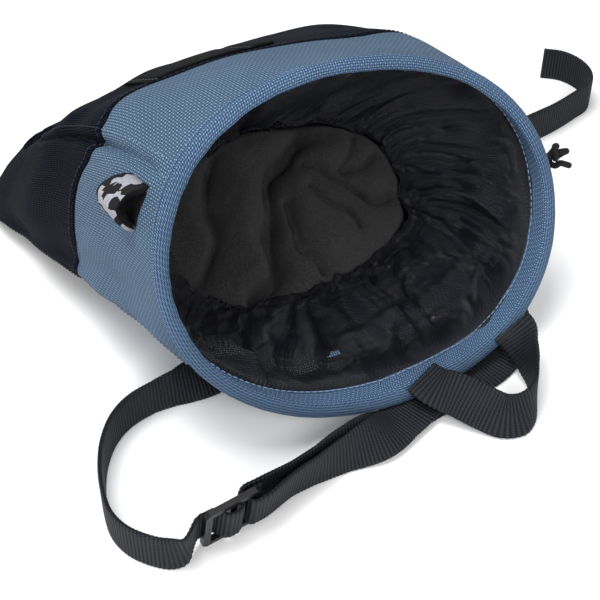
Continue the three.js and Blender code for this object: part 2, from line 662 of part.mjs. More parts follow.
// Drawstring: the cord comes out of the binding at the side and is stopped by a knot
{
  const exit = wallPoint(BINDING_WIDTH / 2 / wallLength(0), radians(11), -BINDING_PROUD - 2 * CLEAR);
  const scale = KNOT_SIZE / 6;
  const centre = exit.clone().add(new THREE.Vector3(KNOT_SIZE * 0.85, KNOT_SIZE * 0.1, -KNOT_SIZE * 0.1));
  const points = [exit];
  for (const t of spread(0.5, 2 * Math.PI - 0.5, 20)) {
    points.push(new THREE.Vector3(
      -(Math.cos(t) - 2 * Math.cos(2 * t)) * scale * 0.9,
      Math.sin(3 * t) * scale * 0.95,
      (Math.sin(t) + 2 * Math.sin(2 * t)) * scale,
    ).add(centre));
  }
  points.push(centre.clone().add(new THREE.Vector3(KNOT_SIZE * 0.75, -KNOT_SIZE * 0.1, -KNOT_SIZE * 0.8)));
  const curve = new THREE.CatmullRomCurve3(points, false, "centripetal");
  const count = 46;
  const frames = curve.computeFrenetFrames(count, false);
  const rings = Array.from({ length: count + 1 }, (_, k) => {
    const middle = curve.getPointAt(k / count);
    return ring((angle) => middle.clone()
      .addScaledVector(frames.normals[k], (CORD_DIAMETER / 2) * Math.cos(angle))
      .addScaledVector(frames.binormals[k], (CORD_DIAMETER / 2) * Math.sin(angle)), 6);
  });
  piece("drawstring", skin([[curve.getPoint(0)], ...rings, [curve.getPoint(1)]]), 0x121316, 0.7);
}

// Frame: the origin is the middle of the part's footprint, on the floor
const extent = new THREE.Box3().setFromObject(root);
const footprint = extent.getCenter(new THREE.Vector3());
for (const mesh of root.children) {
  mesh.geometry.translate(-footprint.x, -footprint.y, -extent.min.z);
}

export default root;
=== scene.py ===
import math
import bpy
import numpy as np
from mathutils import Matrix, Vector


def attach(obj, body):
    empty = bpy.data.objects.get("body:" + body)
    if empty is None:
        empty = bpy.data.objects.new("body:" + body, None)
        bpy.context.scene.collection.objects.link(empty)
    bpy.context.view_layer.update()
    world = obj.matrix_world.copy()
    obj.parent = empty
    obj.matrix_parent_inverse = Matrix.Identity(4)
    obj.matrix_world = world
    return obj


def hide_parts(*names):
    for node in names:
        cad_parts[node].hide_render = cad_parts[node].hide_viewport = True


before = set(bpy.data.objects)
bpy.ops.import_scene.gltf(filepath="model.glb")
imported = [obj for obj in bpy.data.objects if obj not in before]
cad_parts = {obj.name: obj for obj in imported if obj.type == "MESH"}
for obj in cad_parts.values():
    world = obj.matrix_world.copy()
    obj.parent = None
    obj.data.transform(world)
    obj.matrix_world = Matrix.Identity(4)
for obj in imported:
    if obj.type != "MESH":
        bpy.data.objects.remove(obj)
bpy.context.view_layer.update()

# Table, light and view
# The bag lies on a plain pale table top, lit by large soft lamps from above and from the left.
# The camera looks down into its mouth, a little from the left.
VIEW_AZIMUTH = math.radians(-33)
VIEW_ELEVATION = math.radians(43)
VIEW_DISTANCE = 0.421
VIEW_TARGET = np.array([-0.0581, -0.0446, 0.0381])
VIEW_ANGLE = 2 * math.atan(300 / 1300)


def aim(thing, spot):
    thing.rotation_euler = (
        (bpy_vector(spot) - bpy_vector(thing.location)).to_track_quat("-Z", "Y").to_euler()
    )


def bpy_vector(values):
    return Vector([float(v) for v in values])


towards = np.array([
    math.sin(VIEW_AZIMUTH) * math.cos(VIEW_ELEVATION),
    -math.cos(VIEW_AZIMUTH) * math.cos(VIEW_ELEVATION),
    math.sin(VIEW_ELEVATION),
])
camera = bpy.data.objects.new("camera", bpy.data.cameras.new("camera"))
bpy.context.scene.collection.objects.link(camera)
camera.data.sensor_fit = "HORIZONTAL"
camera.data.angle = VIEW_ANGLE
camera.data.clip_start = 0.01
camera.location = bpy_vector(VIEW_TARGET + towards * VIEW_DISTANCE)
aim(camera, VIEW_TARGET)
bpy.context.scene.camera = camera
bpy.context.scene.view_settings.view_transform = "Standard"


def lamp(name, place, size, watts):
    light = bpy.data.lights.new(name, "AREA")
    light.size = size
    light.energy = watts
    holder = bpy.data.objects.new(name, light)
    bpy.context.scene.collection.objects.link(holder)
    holder.location = bpy_vector(place)
    aim(holder, VIEW_TARGET)


lamp("overhead_lamp", (-0.25, 0.1, 1.0), 0.5, 8.5)
lamp("left_lamp", (-0.95, -0.35, 0.55), 0.5, 3.5)
lamp("mouth_lamp", (-0.25, -1.0, 0.85), 0.4, 7)
world = bpy.data.worlds.new("studio")
bpy.context.scene.world = world
world.use_nodes = True
world.node_tree.nodes["Background"].inputs["Color"].default_value = (1, 1, 1, 1)
world.node_tree.nodes["Background"].inputs["Strength"].default_value = 0.55


class Recipe:
    """A material under construction: its shader, and short calls for the nodes it is built from."""

    def __init__(self, name, roughness, sheen=0.0, specular=0.5):
        self.material = bpy.data.materials.new(name)
        self.material.use_nodes = True
        self.tree = self.material.node_tree
        self.shader = self.tree.nodes["Principled BSDF"]
        self.shader.inputs["Roughness"].default_value = roughness
        self.shader.inputs["Specular IOR Level"].default_value = specular
        self.shader.inputs["Sheen Weight"].default_value = sheen

    def join(self, source, socket):
        if hasattr(source, "is_output"):
            self.tree.links.new(source, socket)
        else:
            socket.default_value = source

    def node(self, kind, **settings):
        made = self.tree.nodes.new(kind)
        for key, value in settings.items():
            setattr(made, key, value)
        return made

    def math(self, operation, first, second=None, third=None):
        made = self.node("ShaderNodeMath", operation=operation)
        for socket, value in zip(made.inputs, (first, second, third)):
            if value is not None:
                self.join(value, socket)
        return made.outputs[0]

    def between(self, value, low, high, to_low=0.0, to_high=1.0):
        made = self.node("ShaderNodeMapRange", interpolation_type="SMOOTHSTEP")
        for socket, given in zip(made.inputs, (value, low, high, to_low, to_high)):
            self.join(given, socket)
        return made.outputs[0]

    def mix(self, share, first, second, blend="MIX"):
        made = self.node("ShaderNodeMix", data_type="RGBA", blend_type=blend)
        self.join(share, made.inputs[0])
        self.join(first, made.inputs[6])
        self.join(second, made.inputs[7])
        return made.outputs[2]

    def uv(self, layer="thread"):
        split = self.node("ShaderNodeSeparateXYZ")
        self.join(self.node("ShaderNodeUVMap", uv_map=layer).outputs[0], split.inputs[0])
        return split.outputs[0], split.outputs[1]

    def place(self):
        return self.node("ShaderNodeTexCoord").outputs["Object"]

    def noise(self, scale, detail=3.0, roughness=0.55, where=None):
        made = self.node("ShaderNodeTexNoise")
        self.join(self.place() if where is None else where, made.inputs["Vector"])
        made.inputs["Scale"].default_value = scale
        made.inputs["Detail"].default_value = detail
        made.inputs["Roughness"].default_value = roughness
        return made.outputs["Fac"]

    def relief(self, height, depth, strength=1.0, under=None):
        made = self.node("ShaderNodeBump")
        made.inputs["Distance"].default_value = depth
        made.inputs["Strength"].default_value = strength
        self.join(height, made.inputs["Height"])
        if under is not None:
            self.join(under, made.inputs["Normal"])
        return made.outputs["Normal"]

    def finish(self, colour, normal=None, roughness=None):
        self.join(colour, self.shader.inputs["Base Color"])
        if normal is not None:
            self.join(normal, self.shader.inputs["Normal"])
        if roughness is not None:
            self.join(roughness, self.shader.inputs["Roughness"])
        return self.material


def mesh_object(name, points, faces, corner_uv=None):
    mesh = bpy.data.meshes.new(name)
    mesh.from_pydata(np.asarray(points, float).tolist(), [], [list(map(int, f)) for f in faces])
    if corner_uv is not None:
        layer = mesh.uv_layers.new(name="thread")
        layer.data.foreach_set("uv", np.asarray(corner_uv, np.float32).ravel())
    mesh.polygons.foreach_set("use_smooth", [True] * len(mesh.polygons))
    mesh.update()
    made = bpy.data.objects.new(name, mesh)
    bpy.context.scene.collection.objects.link(made)
    return made


table = mesh_object("table_top", [(-3, -3, 0), (3, -3, 0), (3, 3, 0), (-3, 3, 0)], [(0, 1, 2, 3)])
recipe = Recipe("pale_table", 0.9, specular=0.1)
table.data.materials.append(recipe.finish((0.93, 0.93, 0.93, 1)))

# Upper band
# The bag's blue upper half: a front panel, a back panel and a side strip at each side, sewn
# from coarse woven polyester and joined to the lower body by a seam.
MM = 0.001
FOOT = np.array([35.9, 41.7, 0.0])  # the middle of the footprint, from the mouth's back edge
MOUTH_WIDTH, MOUTH_DEPTH, MOUTH_LEAN = 148, 113, 28
BASE_WIDTH, BASE_DEPTH, BASE_LEAN = 148, 68, -36
BACK_LENGTH, FRONT_PUFF, BASE_BULGE = 178, 11, 9
MOUTH_BACK_Y, RIM_LIFT, FLOOR_SAG, SIDE_SHIFT = -33.6, 5.4, 2.2, 3
SHELL_WALL, BINDING_WIDTH, CLEAR = 1.6, 9, 0.3
BLUE_SHARE, BLUE_TILT = 0.47, 0.11
SECTIONS = {
    "at": (0.0, 0.2, 0.4, 0.6, 0.8, 1.0),
    "back": (0.0, 0.19, 0.4, 0.6, 0.8, 1.0),
    "front": (0.0, 0.18, 0.38, 0.59, 0.8, 1.0),
    "mix": (0.0, 0.35, 1.1, 1.5, 1.3, 1.0),
    "square": (2.1, 2.6, 3.0, 3.2, 3.5, 4.0),
    "roll": (-11, -9, -6, -4, 0, 3),
    "lift": (1, 1, 1, 0.3, 0, 0),
    "puff": (0, 0.45, 0.85, 1, 0.92, 0.35),
    "shift": (1, 0.9, 0.6, 0.2, -0.2, -0.4),
    "taper": (0, 0, 0.02, 0.05, 0.09, 0.13),
}
SEAM_ANGLES = (28, 152, 208, 332)  # the side strips' seams, in degrees from the right side
# Dents (below zero) and swellings of the cloth: place as a share of the length and an angle,
# reach along and round, turn of the long axis, and height in millimetres
DENTS = (
    (0.36, 133, 0.17, 15, 0, 3.2),
    (0.22, 176, 0.1, 5, 30, -1.6),
    (0.33, 190, 0.12, 7, -35, -2.2),
    (0.43, 203, 0.1, 6, 20, 1.8),
    (0.16, 200, 0.1, 6, -30, 1.2),
    (0.55, 196, 0.09, 8, 40, -2.4),
    (0.72, 180, 0.1, 7, -20, 2.4),
    (0.8, 196, 0.06, 8, 20, -2.0),
    (0.25, 108, 0.12, 14, 25, 0.9),
    (0.3, 74, 0.16, 10, -20, -1.2),
    (0.52, 128, 0.1, 8, 40, -1.6),
    (0.66, 140, 0.07, 7, -30, 1.8),
    (0.74, 118, 0.07, 9, 15, -1.5),
    (0.7, 92, 0.09, 12, -10, 1.2),
    (0.62, 66, 0.08, 9, 25, -1.6),
    (0.4, 8, 0.14, 8, 20, -1.8),
    (0.6, -6, 0.12, 8, -25, 1.8),
    (0.2, -14, 0.1, 7, 25, 1.4),
    (0.98, 138, 0.14, 13, 0, -5.5),
    (1.0, 172, 0.14, 20, 0, -4.0),
    (0.6, 108, 0.12, 8, 30, 1.3),
)


def column(key, at):
    x, y = np.array(SECTIONS["at"]), np.array(SECTIONS[key], float)
    slope = np.diff(y) / np.diff(x)
    tangent = np.empty_like(y)
    tangent[0], tangent[-1] = slope[0], slope[-1]
    product, total = slope[:-1] * slope[1:], slope[:-1] + slope[1:]
    tangent[1:-1] = np.where(product > 0, 2 * product / np.where(total == 0, 1, total), 0)
    at = np.clip(at, 0, 1)
    k = np.clip(np.searchsorted(x, at) - 1, 0, len(x) - 2)
    span = x[k + 1] - x[k]
    u = (at - x[k]) / span
    v = 1 - u
    return (
        (1 + 2 * u) * v * v * y[k]
        + u * v * v * span * tangent[k]
        + u * u * (3 - 2 * u) * y[k + 1]
        - u * u * v * span * tangent[k + 1]
    )


def lean(degrees):
    return np.array([0, math.sin(math.radians(degrees)), math.cos(math.radians(degrees))])


def section(at):
    at = np.asarray(at, float)
    lift = column("lift", at)
    along_floor = MOUTH_BACK_Y + BACK_LENGTH * column("back", at)
    back = np.stack([0 * at, along_floor, RIM_LIFT * lift - FLOOR_SAG * (1 - lift)], -1)
    mouth = np.array([0, MOUTH_BACK_Y, RIM_LIFT]) + lean(MOUTH_LEAN) * MOUTH_DEPTH
    base = np.array([0, MOUTH_BACK_Y + BACK_LENGTH, -FLOOR_SAG]) + lean(BASE_LEAN) * BASE_DEPTH
    run = base - mouth
    out = np.array([0, -run[2], run[1]]) / np.linalg.norm(run)
    front = mouth + run * column("front", at)[..., None] + out * (FRONT_PUFF * column("puff", at))[..., None]
    axis = front - back
    size = np.linalg.norm(axis, axis=-1)
    middle = (back + front) / 2
    middle[..., 0] = SIDE_SHIFT * column("shift", at)
    half_width = (MOUTH_WIDTH + (BASE_WIDTH - MOUTH_WIDTH) * column("mix", at)) / 2
    return middle, axis / size[..., None], half_width, size / 2, RIM_LIFT * lift


def bend(value, power):
    return np.sign(value) * np.abs(value) ** power


def wall(at, angle, inset=0.0, share=1.0):
    """Points of the bag's wall in millimetres, a depth below its outer face."""
    at, angle, inset, share = np.broadcast_arrays(*(np.asarray(v, float) for v in (at, angle, inset, share)))
    middle, axis, half_width, half_depth, bed = section(at)
    power = 2 / column("square", at)
    side, rise = bend(np.cos(angle), power), bend(np.sin(angle), power)
    across = (half_width - inset) * (1 - column("taper", at) * rise) * side * share
    along = (half_depth - inset) * rise * share
    roll = np.radians(column("roll", at))
    point = middle + axis * (across * np.sin(roll) + along * np.cos(roll))[..., None]
    point[..., 0] += across * np.cos(roll) - along * np.sin(roll)
    point[..., 2] = np.maximum(point[..., 2], bed + inset)
    return point


FRONT_LENGTH = np.linalg.norm(wall(0, math.pi / 2) - wall(1, math.pi / 2))


def wall_length(angle):
    return (BACK_LENGTH + FRONT_LENGTH) / 2 - (BACK_LENGTH - FRONT_LENGTH) / 2 * np.sin(angle)


def blue_share(angle):
    """Where the blue cloth ends; the seam runs up a little at the front panel's corners."""
    degrees = np.degrees(angle) % 360
    corner = np.exp(-(((degrees - 154) / 13) ** 2)) + np.exp(-(((degrees - 26) / 13) ** 2))
    return BLUE_SHARE - BLUE_TILT * np.sin(angle) - 0.05 * corner


def turn_to(degrees, other):
    return (degrees - other + 180) % 360 - 180


def waves(points, size, count, seed, sharp=False):
    """Soft or sharp ripples from waves that run in many directions over points in millimetres."""
    chance = np.random.default_rng(seed)
    total = np.zeros(points.shape[:-1])
    for _ in range(count):
        way = chance.normal(size=3)
        way *= 2 * math.pi / (size * (0.6 + 0.8 * chance.random()) * np.linalg.norm(way))
        wave = np.sin(points @ way + chance.random() * 6.28)
        total += 1 - 2 * np.abs(wave) if sharp else wave
    return total / math.sqrt(count)


def shell_relief(at, angle):
    """How far the outer cloth stands out, in millimetres: dents, seams and slack."""
    degrees = np.degrees(angle)
    height = np.zeros(np.broadcast(at, angle).shape)
    for row_at, row_angle, reach, width, turn, rise in DENTS:
        x = (at - row_at) / reach
        y = turn_to(degrees, row_angle) / width
        c, s = math.cos(math.radians(turn)), math.sin(math.radians(turn))
        height += rise * np.exp(-((x * c + y * s) ** 2) - (y * c - x * s) ** 2)
    for seam in SEAM_ANGLES:
        off = turn_to(degrees, seam)
        depth = (1.5 + 1.6 * np.exp(-(((at - 0.42) / 0.16) ** 2))) * np.clip((at - 0.05) * 12, 0, 1)
        height -= depth * np.exp(-((off / 1.7) ** 2)) * (1 if seam < 180 else 0.5)
        height += 0.8 * np.exp(-(((np.abs(off) - 5) / 3) ** 2))
    height -= 0.9 * np.exp(-(((at - blue_share(angle)) / 0.009) ** 2))
    height += waves(wall(at, angle), 34, 14, 3) * 0.35
    height *= np.clip((at - 0.03) / 0.07, 0, 1)
    under = np.sin(angle)
    return np.where(under < -0.55, np.clip(height, -0.6, 0.0), height)


def shell(at, angle, inset=0.0):
    return wall(at, angle, inset - shell_relief(at, angle))


def grid_solid(name, rows, closed=True, start=None, end=None, panels=None, turn_u=None):
    """One closed skin from rows of points round the bag, with a thread map in metres.

    closed joins the last row to the first; start and end are points that close a row's hole.
    panels gives the panel of each column and turn_u the column each panel's threads run along.
    """
    rows = np.asarray(rows, float)
    count, around = rows.shape[:2]
    ring = np.concatenate([rows, rows[:, :1]], 1)
    steps_round = np.linalg.norm(np.diff(ring, axis=1), axis=2)
    steps_down = np.linalg.norm(np.diff(ring, axis=0), axis=2)
    girth = np.concatenate([np.zeros((count, 1)), np.cumsum(steps_round, 1)], 1)
    depth = np.concatenate([np.zeros((1, around + 1)), np.cumsum(steps_down, 0)], 0)
    if panels is None:
        panels, turn_u = np.zeros(around, int), [around // 2]
    sides = np.stack([girth - girth[:, [c]] for c in turn_u])
    last = count if closed else count - 1
    r, c = np.meshgrid(np.arange(last), np.arange(around), indexing="ij")
    r, c = r.ravel(), c.ravel()
    up, right = (r + 1) % count, (c + 1) % around
    faces = np.stack([r * around + c, r * around + right, up * around + right, up * around + c], 1)
    panel = np.asarray(panels)[c]
    corners = [(r, c), (r, c + 1), (up, c + 1), (up, c)]
    uv = np.stack([np.stack([sides[panel, a, b], depth[a, b]], 1) for a, b in corners], 1) * MM
    points = list((rows.reshape(-1, 3) - FOOT) * MM)
    faces, uv = [list(f) for f in faces], [list(map(list, u)) for u in uv]
    for row, pole, back in ((0, start, True), (count - 1, end, False)):
        if pole is None:
            continue
        points.append((np.asarray(pole) - FOOT) * MM)
        for k in range(around):
            pair = [row * around + k, row * around + (k + 1) % around]
            if back:
                pair.reverse()
            faces.append(pair + [len(points) - 1])
            uv.append([[points[i][0], points[i][1] + points[i][2]] for i in faces[-1]])
    points = np.array(points)
    volume = sum(
        np.dot(points[f[0]], np.cross(points[f[i]], points[f[i + 1]]))
        for f in faces
        for i in range(1, len(f) - 1)
    )
    if volume < 0:
        faces = [f[::-1] for f in faces]
        uv = [u[::-1] for u in uv]
    return mesh_object(name, points, faces, [pair for u in uv for pair in u])


def woven(name, dark, mid, pale, pitch, depth, roughness, specular):
    """Plain weave on the thread map: threads that pass over and under each other, with painted shade in the
    gaps between them and painted highlights on their crowns.
    """
    recipe = Recipe(name, roughness, specular=specular)
    u, v = recipe.uv()
    drift = recipe.noise(160, 2.0)
    across = recipe.math("ADD", recipe.math("DIVIDE", u, pitch), recipe.math("MULTIPLY", drift, 0.5))
    along = recipe.math("ADD", recipe.math("DIVIDE", v, pitch), recipe.math("MULTIPLY", drift, 0.4))
    fu, fv = recipe.math("FRACT", across), recipe.math("FRACT", along)
    cell = recipe.math("ADD", recipe.math("FLOOR", across), recipe.math("FLOOR", along))
    over = recipe.math("FLOORED_MODULO", cell, 2.0)
    hump_u = recipe.math("SINE", recipe.math("MULTIPLY", fu, math.pi))
    hump_v = recipe.math("SINE", recipe.math("MULTIPLY", fv, math.pi))
    warp = recipe.math("MULTIPLY", hump_u, recipe.math("MULTIPLY_ADD", hump_v, 0.55, 0.45))
    weft = recipe.math("MULTIPLY", hump_v, recipe.math("MULTIPLY_ADD", hump_u, 0.55, 0.45))
    turn = recipe.math("SUBTRACT", 1.0, over)
    height = recipe.math("ADD", recipe.math("MULTIPLY", warp, over), recipe.math("MULTIPLY", weft, turn))
    # Painted shade: the threads' low parts and the gaps between them take the dark colour, by their height.
    colour = recipe.mix(recipe.between(height, 0.1, 0.75), (*dark, 1), (*mid, 1))
    crown = recipe.between(height, 0.5, 1.0)
    # Painted highlight: the pale colour on the threads' crowns, stronger on the threads that pass over.
    lit = recipe.math("MULTIPLY", crown, recipe.math("MULTIPLY_ADD", over, 0.75, 0.15))
    colour = recipe.mix(lit, colour, (*pale, 1))
    worn = recipe.between(recipe.noise(28, 4.0), 0.3, 0.7, 0.92, 1.08)
    tone = recipe.node("ShaderNodeVectorMath", operation="SCALE")
    recipe.join(colour, tone.inputs[0])
    recipe.join(worn, tone.inputs["Scale"])
    fibre = recipe.noise(2600, 2.0)
    height = recipe.math("MULTIPLY_ADD", fibre, 0.3, height)
    gloss = recipe.between(height, 0.2, 1.0, roughness + 0.08, roughness - 0.06)
    return recipe.finish(tone.outputs[0], recipe.relief(height, depth), gloss)


ANGLES = np.radians(np.arange(-90, 270, 1.0))
column_degrees = (np.degrees(ANGLES) + 0.5) % 360
SHELL_PANELS = np.select(
    [
        (column_degrees >= 28) & (column_degrees < 152),
        (column_degrees >= 152) & (column_degrees < 208),
        (column_degrees >= 208) & (column_degrees < 332),
    ],
    [0, 1, 2], 3,
)
SHELL_TURNS = [180, 270, 0, 90]
blue_start = (BINDING_WIDTH * 0.43) / wall_length(ANGLES)
blue_end = blue_share(ANGLES)
steps = np.linspace(0, 1, 64)[:, None]
outer = shell(blue_start + (blue_end - blue_start) * steps, ANGLES)
inner = wall(blue_start + (blue_end - blue_start) * steps[::-6], ANGLES, SHELL_WALL + 0.1)
blue_cloth = woven(
    "blue_cloth",
    dark=(0.022, 0.044, 0.083),
    mid=(0.078, 0.138, 0.218),
    pale=(0.2, 0.3, 0.41),
    pitch=0.00095,
    depth=0.00042,
    roughness=0.75,
    specular=0.2,
)
upper_band = grid_solid(
    "upper_band_cloth", np.concatenate([outer, inner]), panels=SHELL_PANELS, turn_u=SHELL_TURNS
)
upper_band.data.materials.append(blue_cloth)
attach(upper_band, "root")
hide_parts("upper_band")

# Lower body
# The navy lower half with its base: the same coarse cloth, in one cup whose base is the side
# strips' lower end, sewn to the front and back panels.
# The base's rounding: share of the section's size, and share of the bulge
CAP = (
    (0.995, 0.06), (0.985, 0.16), (0.97, 0.3), (0.93, 0.46), (0.88, 0.6),
    (0.78, 0.74), (0.66, 0.85), (0.5, 0.93), (0.3, 0.98), (0.12, 1.0),
)


def base_rows(inset):
    middle, axis, *_ = section(np.array(1.0))
    out = np.array([0, axis[2], -axis[1]])
    rows = []
    for share, rise in CAP:
        ring = wall(1.0, ANGLES, inset - shell_relief(1.0, ANGLES) * share, share)
        ring = ring + out * (BASE_BULGE * rise - inset)
        ring[:, 2] = np.maximum(ring[:, 2], inset)
        rows.append(ring)
    return rows, middle + out * (BASE_BULGE - inset)


navy_start = blue_end + 0.15 / wall_length(ANGLES)
steps = np.linspace(0, 1, 70)[:, None]
outer = shell(navy_start + (1 - navy_start) * steps, ANGLES)
inner = wall(navy_start + (0.985 - navy_start) * steps[::-7], ANGLES, SHELL_WALL)
cap, pole = base_rows(0.0)
inner_cap, inner_pole = base_rows(SHELL_WALL)
rows = [*inner_cap[::-3], *inner, *outer, *cap]
navy_cloth = woven(
    "navy_cloth",
    dark=(0.0003, 0.0005, 0.0013),
    mid=(0.0024, 0.004, 0.0095),
    pale=(0.018, 0.027, 0.048),
    pitch=0.001,
    depth=0.0005,
    roughness=0.8,
    specular=0.05,
)
lower_body = grid_solid(
    "lower_body_cloth", rows, closed=False, start=inner_pole, end=pole,
    panels=SHELL_PANELS, turn_u=SHELL_TURNS,
)
lower_body.data.materials.append(navy_cloth)
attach(lower_body, "root")
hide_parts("lower_body")

# Rim binding
# The mouth's edge: blue cloth turned over into the bag, rolled round the edge and held by one
# row of stitches outside and one inside.
RIM_PROFILE = (
    # depth as a share of the binding's width, and how far it lies below the outer face
    (0.5, 0.3), (0.49, -0.35), (0.45, -0.6), (0.39, -0.5), (0.35, -0.3), (0.31, -0.75), (0.24, -1.2),
    (0.16, -1.3), (0.08, -1.1), (0.02, -0.5), (-0.03, 0.5), (-0.035, 1.5), (0.0, 2.6), (0.07, 3.4),
    (0.16, 3.7), (0.28, 3.75),
    (0.45, 3.7), (0.62, 3.65), (0.78, 3.6), (0.84, 3.35), (0.88, 3.6), (0.95, 3.55), (1.0, 3.3), (1.0, 2.7),
    (0.8, 2.4), (0.4, 2.4), (0.2, 2.2), (0.2, 0.5), (0.4, 0.4),
)
RIM_ANGLES = np.radians(np.arange(-90, 270, 0.75))


def rim_point(depth, inset, angle):
    """A place on the binding; its inner edge waves, and it rolls with the cloth."""
    around = waves(wall(0.03, angle), 30, 10, 21)
    small = waves(wall(0.03, angle), 9, 8, 22)
    inside = np.clip((inset - 1.0) / 2.5, 0, 1)
    depth = depth * (1 + inside * (0.06 * around + 0.03 * small)) * BINDING_WIDTH
    bump = (0.22 * around + 0.1 * small) * (0.4 + 0.6 * inside)
    return wall(np.maximum(depth, -2) / wall_length(angle), angle, inset - bump) + rim_overhang(depth, angle)


def rim_overhang(depth, angle):
    """The rolled edge stands a little before the mouth's plane."""
    ahead = np.clip(-depth, 0, 3)
    return np.stack([0 * ahead, -ahead * 0.88, ahead * 0.47], -1)


rows = np.array([rim_point(depth, inset, RIM_ANGLES) for depth, inset in RIM_PROFILE])
fine = []
for k in range(len(rows)):
    a, b, c, d = rows[k - 1], rows[k], rows[(k + 1) % len(rows)], rows[(k + 2) % len(rows)]
    for t in (0.0, 0.5):
        square, cube = 2 * a - 5 * b + 4 * c - d, 3 * b - a - 3 * c + d
        fine.append(0.5 * (2 * b + (c - a) * t + square * t * t + cube * t ** 3))
binding_cloth = woven(
    "binding_cloth",
    dark=(0.016, 0.034, 0.078),
    mid=(0.08, 0.152, 0.272),
    pale=(0.22, 0.345, 0.5),
    pitch=0.00088,
    depth=0.00046,
    roughness=0.7,
    specular=0.22,
)
rim_binding = grid_solid("rim_binding_cloth", fine)
rim_binding.data.materials.append(binding_cloth)
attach(rim_binding, "root")
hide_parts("rim_binding")


# Seams
# Rows of stitches in pale blue, dark or grey thread: along the rim, beside the side strips'
# seams, across the tab's ends and on the brush loop. Each stitch is one small thread loop along a line.
def stitch_tree():
    tree = bpy.data.node_groups.new("stitch_row", "GeometryNodeTree")
    face = tree.interface
    face.new_socket("Geometry", in_out="INPUT", socket_type="NodeSocketGeometry")
    for name, value in (("Spacing", 0.0022), ("Length", 0.0016), ("Width", 0.0004)):
        face.new_socket(name, in_out="INPUT", socket_type="NodeSocketFloat").default_value = value
    face.new_socket("Thread", in_out="INPUT", socket_type="NodeSocketMaterial")
    face.new_socket("Geometry", in_out="OUTPUT", socket_type="NodeSocketGeometry")
    new, link = tree.nodes.new, tree.links.new
    given, made = new("NodeGroupInput"), new("NodeGroupOutput")
    curve, places = new("GeometryNodeMeshToCurve"), new("GeometryNodeCurveToPoints")
    places.mode = "LENGTH"
    bead, size = new("GeometryNodeMeshUVSphere"), new("ShaderNodeCombineXYZ")
    scaled = new("GeometryNodeTransform")
    bead.inputs["Segments"].default_value = 6
    bead.inputs["Rings"].default_value = 5
    bead.inputs["Radius"].default_value = 0.5
    put, real = new("GeometryNodeInstanceOnPoints"), new("GeometryNodeRealizeInstances")
    thread = new("GeometryNodeSetMaterial")
    smooth = new("GeometryNodeSetShadeSmooth")
    link(given.outputs["Geometry"], curve.inputs[0])
    link(curve.outputs[0], places.inputs["Curve"])
    link(given.outputs["Spacing"], places.inputs["Length"])
    link(given.outputs["Width"], size.inputs[0])
    link(given.outputs["Width"], size.inputs[1])
    link(given.outputs["Length"], size.inputs[2])
    link(bead.outputs["Mesh"], scaled.inputs["Geometry"])
    link(size.outputs[0], scaled.inputs["Scale"])
    link(places.outputs["Points"], put.inputs["Points"])
    link(scaled.outputs[0], put.inputs["Instance"])
    link(places.outputs["Rotation"], put.inputs["Rotation"])
    link(put.outputs[0], real.inputs[0])
    link(real.outputs[0], smooth.inputs[0])
    link(smooth.outputs[0], thread.inputs["Geometry"])
    link(given.outputs["Thread"], thread.inputs["Material"])
    link(thread.outputs[0], made.inputs[0])
    return tree


stitch_rows = stitch_tree()


def stitches(name, lines, thread, spacing=2.3, length=1.75, width=0.45):
    """Sews thread along lines of points in millimetres."""
    points, edges = [], []
    for line in lines:
        first = len(points)
        points += list((np.asarray(line) - FOOT) * MM)
        edges += [(first + k, first + k + 1) for k in range(len(line) - 1)]
    mesh = bpy.data.meshes.new(name)
    mesh.from_pydata([list(p) for p in points], edges, [])
    row = bpy.data.objects.new(name, mesh)
    bpy.context.scene.collection.objects.link(row)
    worker = row.modifiers.new("stitch_row", "NODES")
    worker.node_group = stitch_rows
    keys = {item.name: item.identifier for item in stitch_rows.interface.items_tree if item.in_out == "INPUT"}
    worker[keys["Spacing"]] = spacing * MM
    worker[keys["Length"]] = length * MM
    worker[keys["Width"]] = width * MM
    worker[keys["Thread"]] = thread
    shown = bpy.data.meshes.new_from_object(row.evaluated_get(bpy.context.evaluated_depsgraph_get()))
    row.modifiers.clear()
    row.data = shown
    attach(row, "root")
    return row


def thread_material(name, colour, deep):
    recipe = Recipe(name, 0.6, specular=0.25)
    twist = recipe.noise(3000, 2.0)
    return recipe.finish(recipe.mix(twist, (*deep, 1), (*colour, 1)), recipe.relief(twist, 0.0001))


pale_thread = thread_material("pale_blue_thread", (0.2, 0.31, 0.45), (0.11, 0.18, 0.28))
dark_thread = thread_material("navy_thread", (0.02, 0.025, 0.036), (0.006, 0.008, 0.013))
around = np.radians(np.arange(-90, 271, 1.0))
stitches("rim_stitches", [rim_point(0.35, -0.42, around)], pale_thread, 2.1, 1.6, 0.3)
stitches("rim_inner_stitches", [rim_point(0.85, 3.75, around)], pale_thread, 2.3, 1.9, 0.5)
side_lines, navy_lines = [], []
for seam, side in ((152, 1), (208, -1), (28, -1), (332, 1)):
    angle = math.radians(seam - side * 5)
    at = np.linspace(0.08, float(blue_share(angle)) - 0.01, 50)
    side_lines.append(wall(at, angle, -0.12 - shell_relief(at, np.full(50, angle))))
    at = np.linspace(float(blue_share(angle)) + 0.012, 0.985, 60)
    navy_lines.append(wall(at, angle, -0.12 - shell_relief(at, np.full(60, angle))))
navy_row = wall(blue_share(around) + 0.018, around, -0.1 - shell_relief(blue_share(around) + 0.018, around))
stitches("side_seam_stitches", side_lines, pale_thread, 2.2, 1.6, 0.34)
stitches("body_seam_stitches", [*navy_lines, navy_row], dark_thread, 2.2, 1.7, 0.4)

# Fleece lining
# The soft grey fleece that holds the chalk. It lies bunched inside the mouth in fat rolls with
# deep valleys between them, and runs down along the walls to the base.
HEAP_WIDTH, HEAP_HEIGHT = 50.0, 33.0
HEAP_MIDDLE = np.array([5.4, 51.8, 38.0])
HEAP_ACROSS = np.array([1.0, 0, 0])
HEAP_UP = np.array([0, 0.817, 0.577])
HEAP_OUT = np.array([0, -0.577, 0.817])
HEAP_HEART = np.array([-5.0, -10.0])
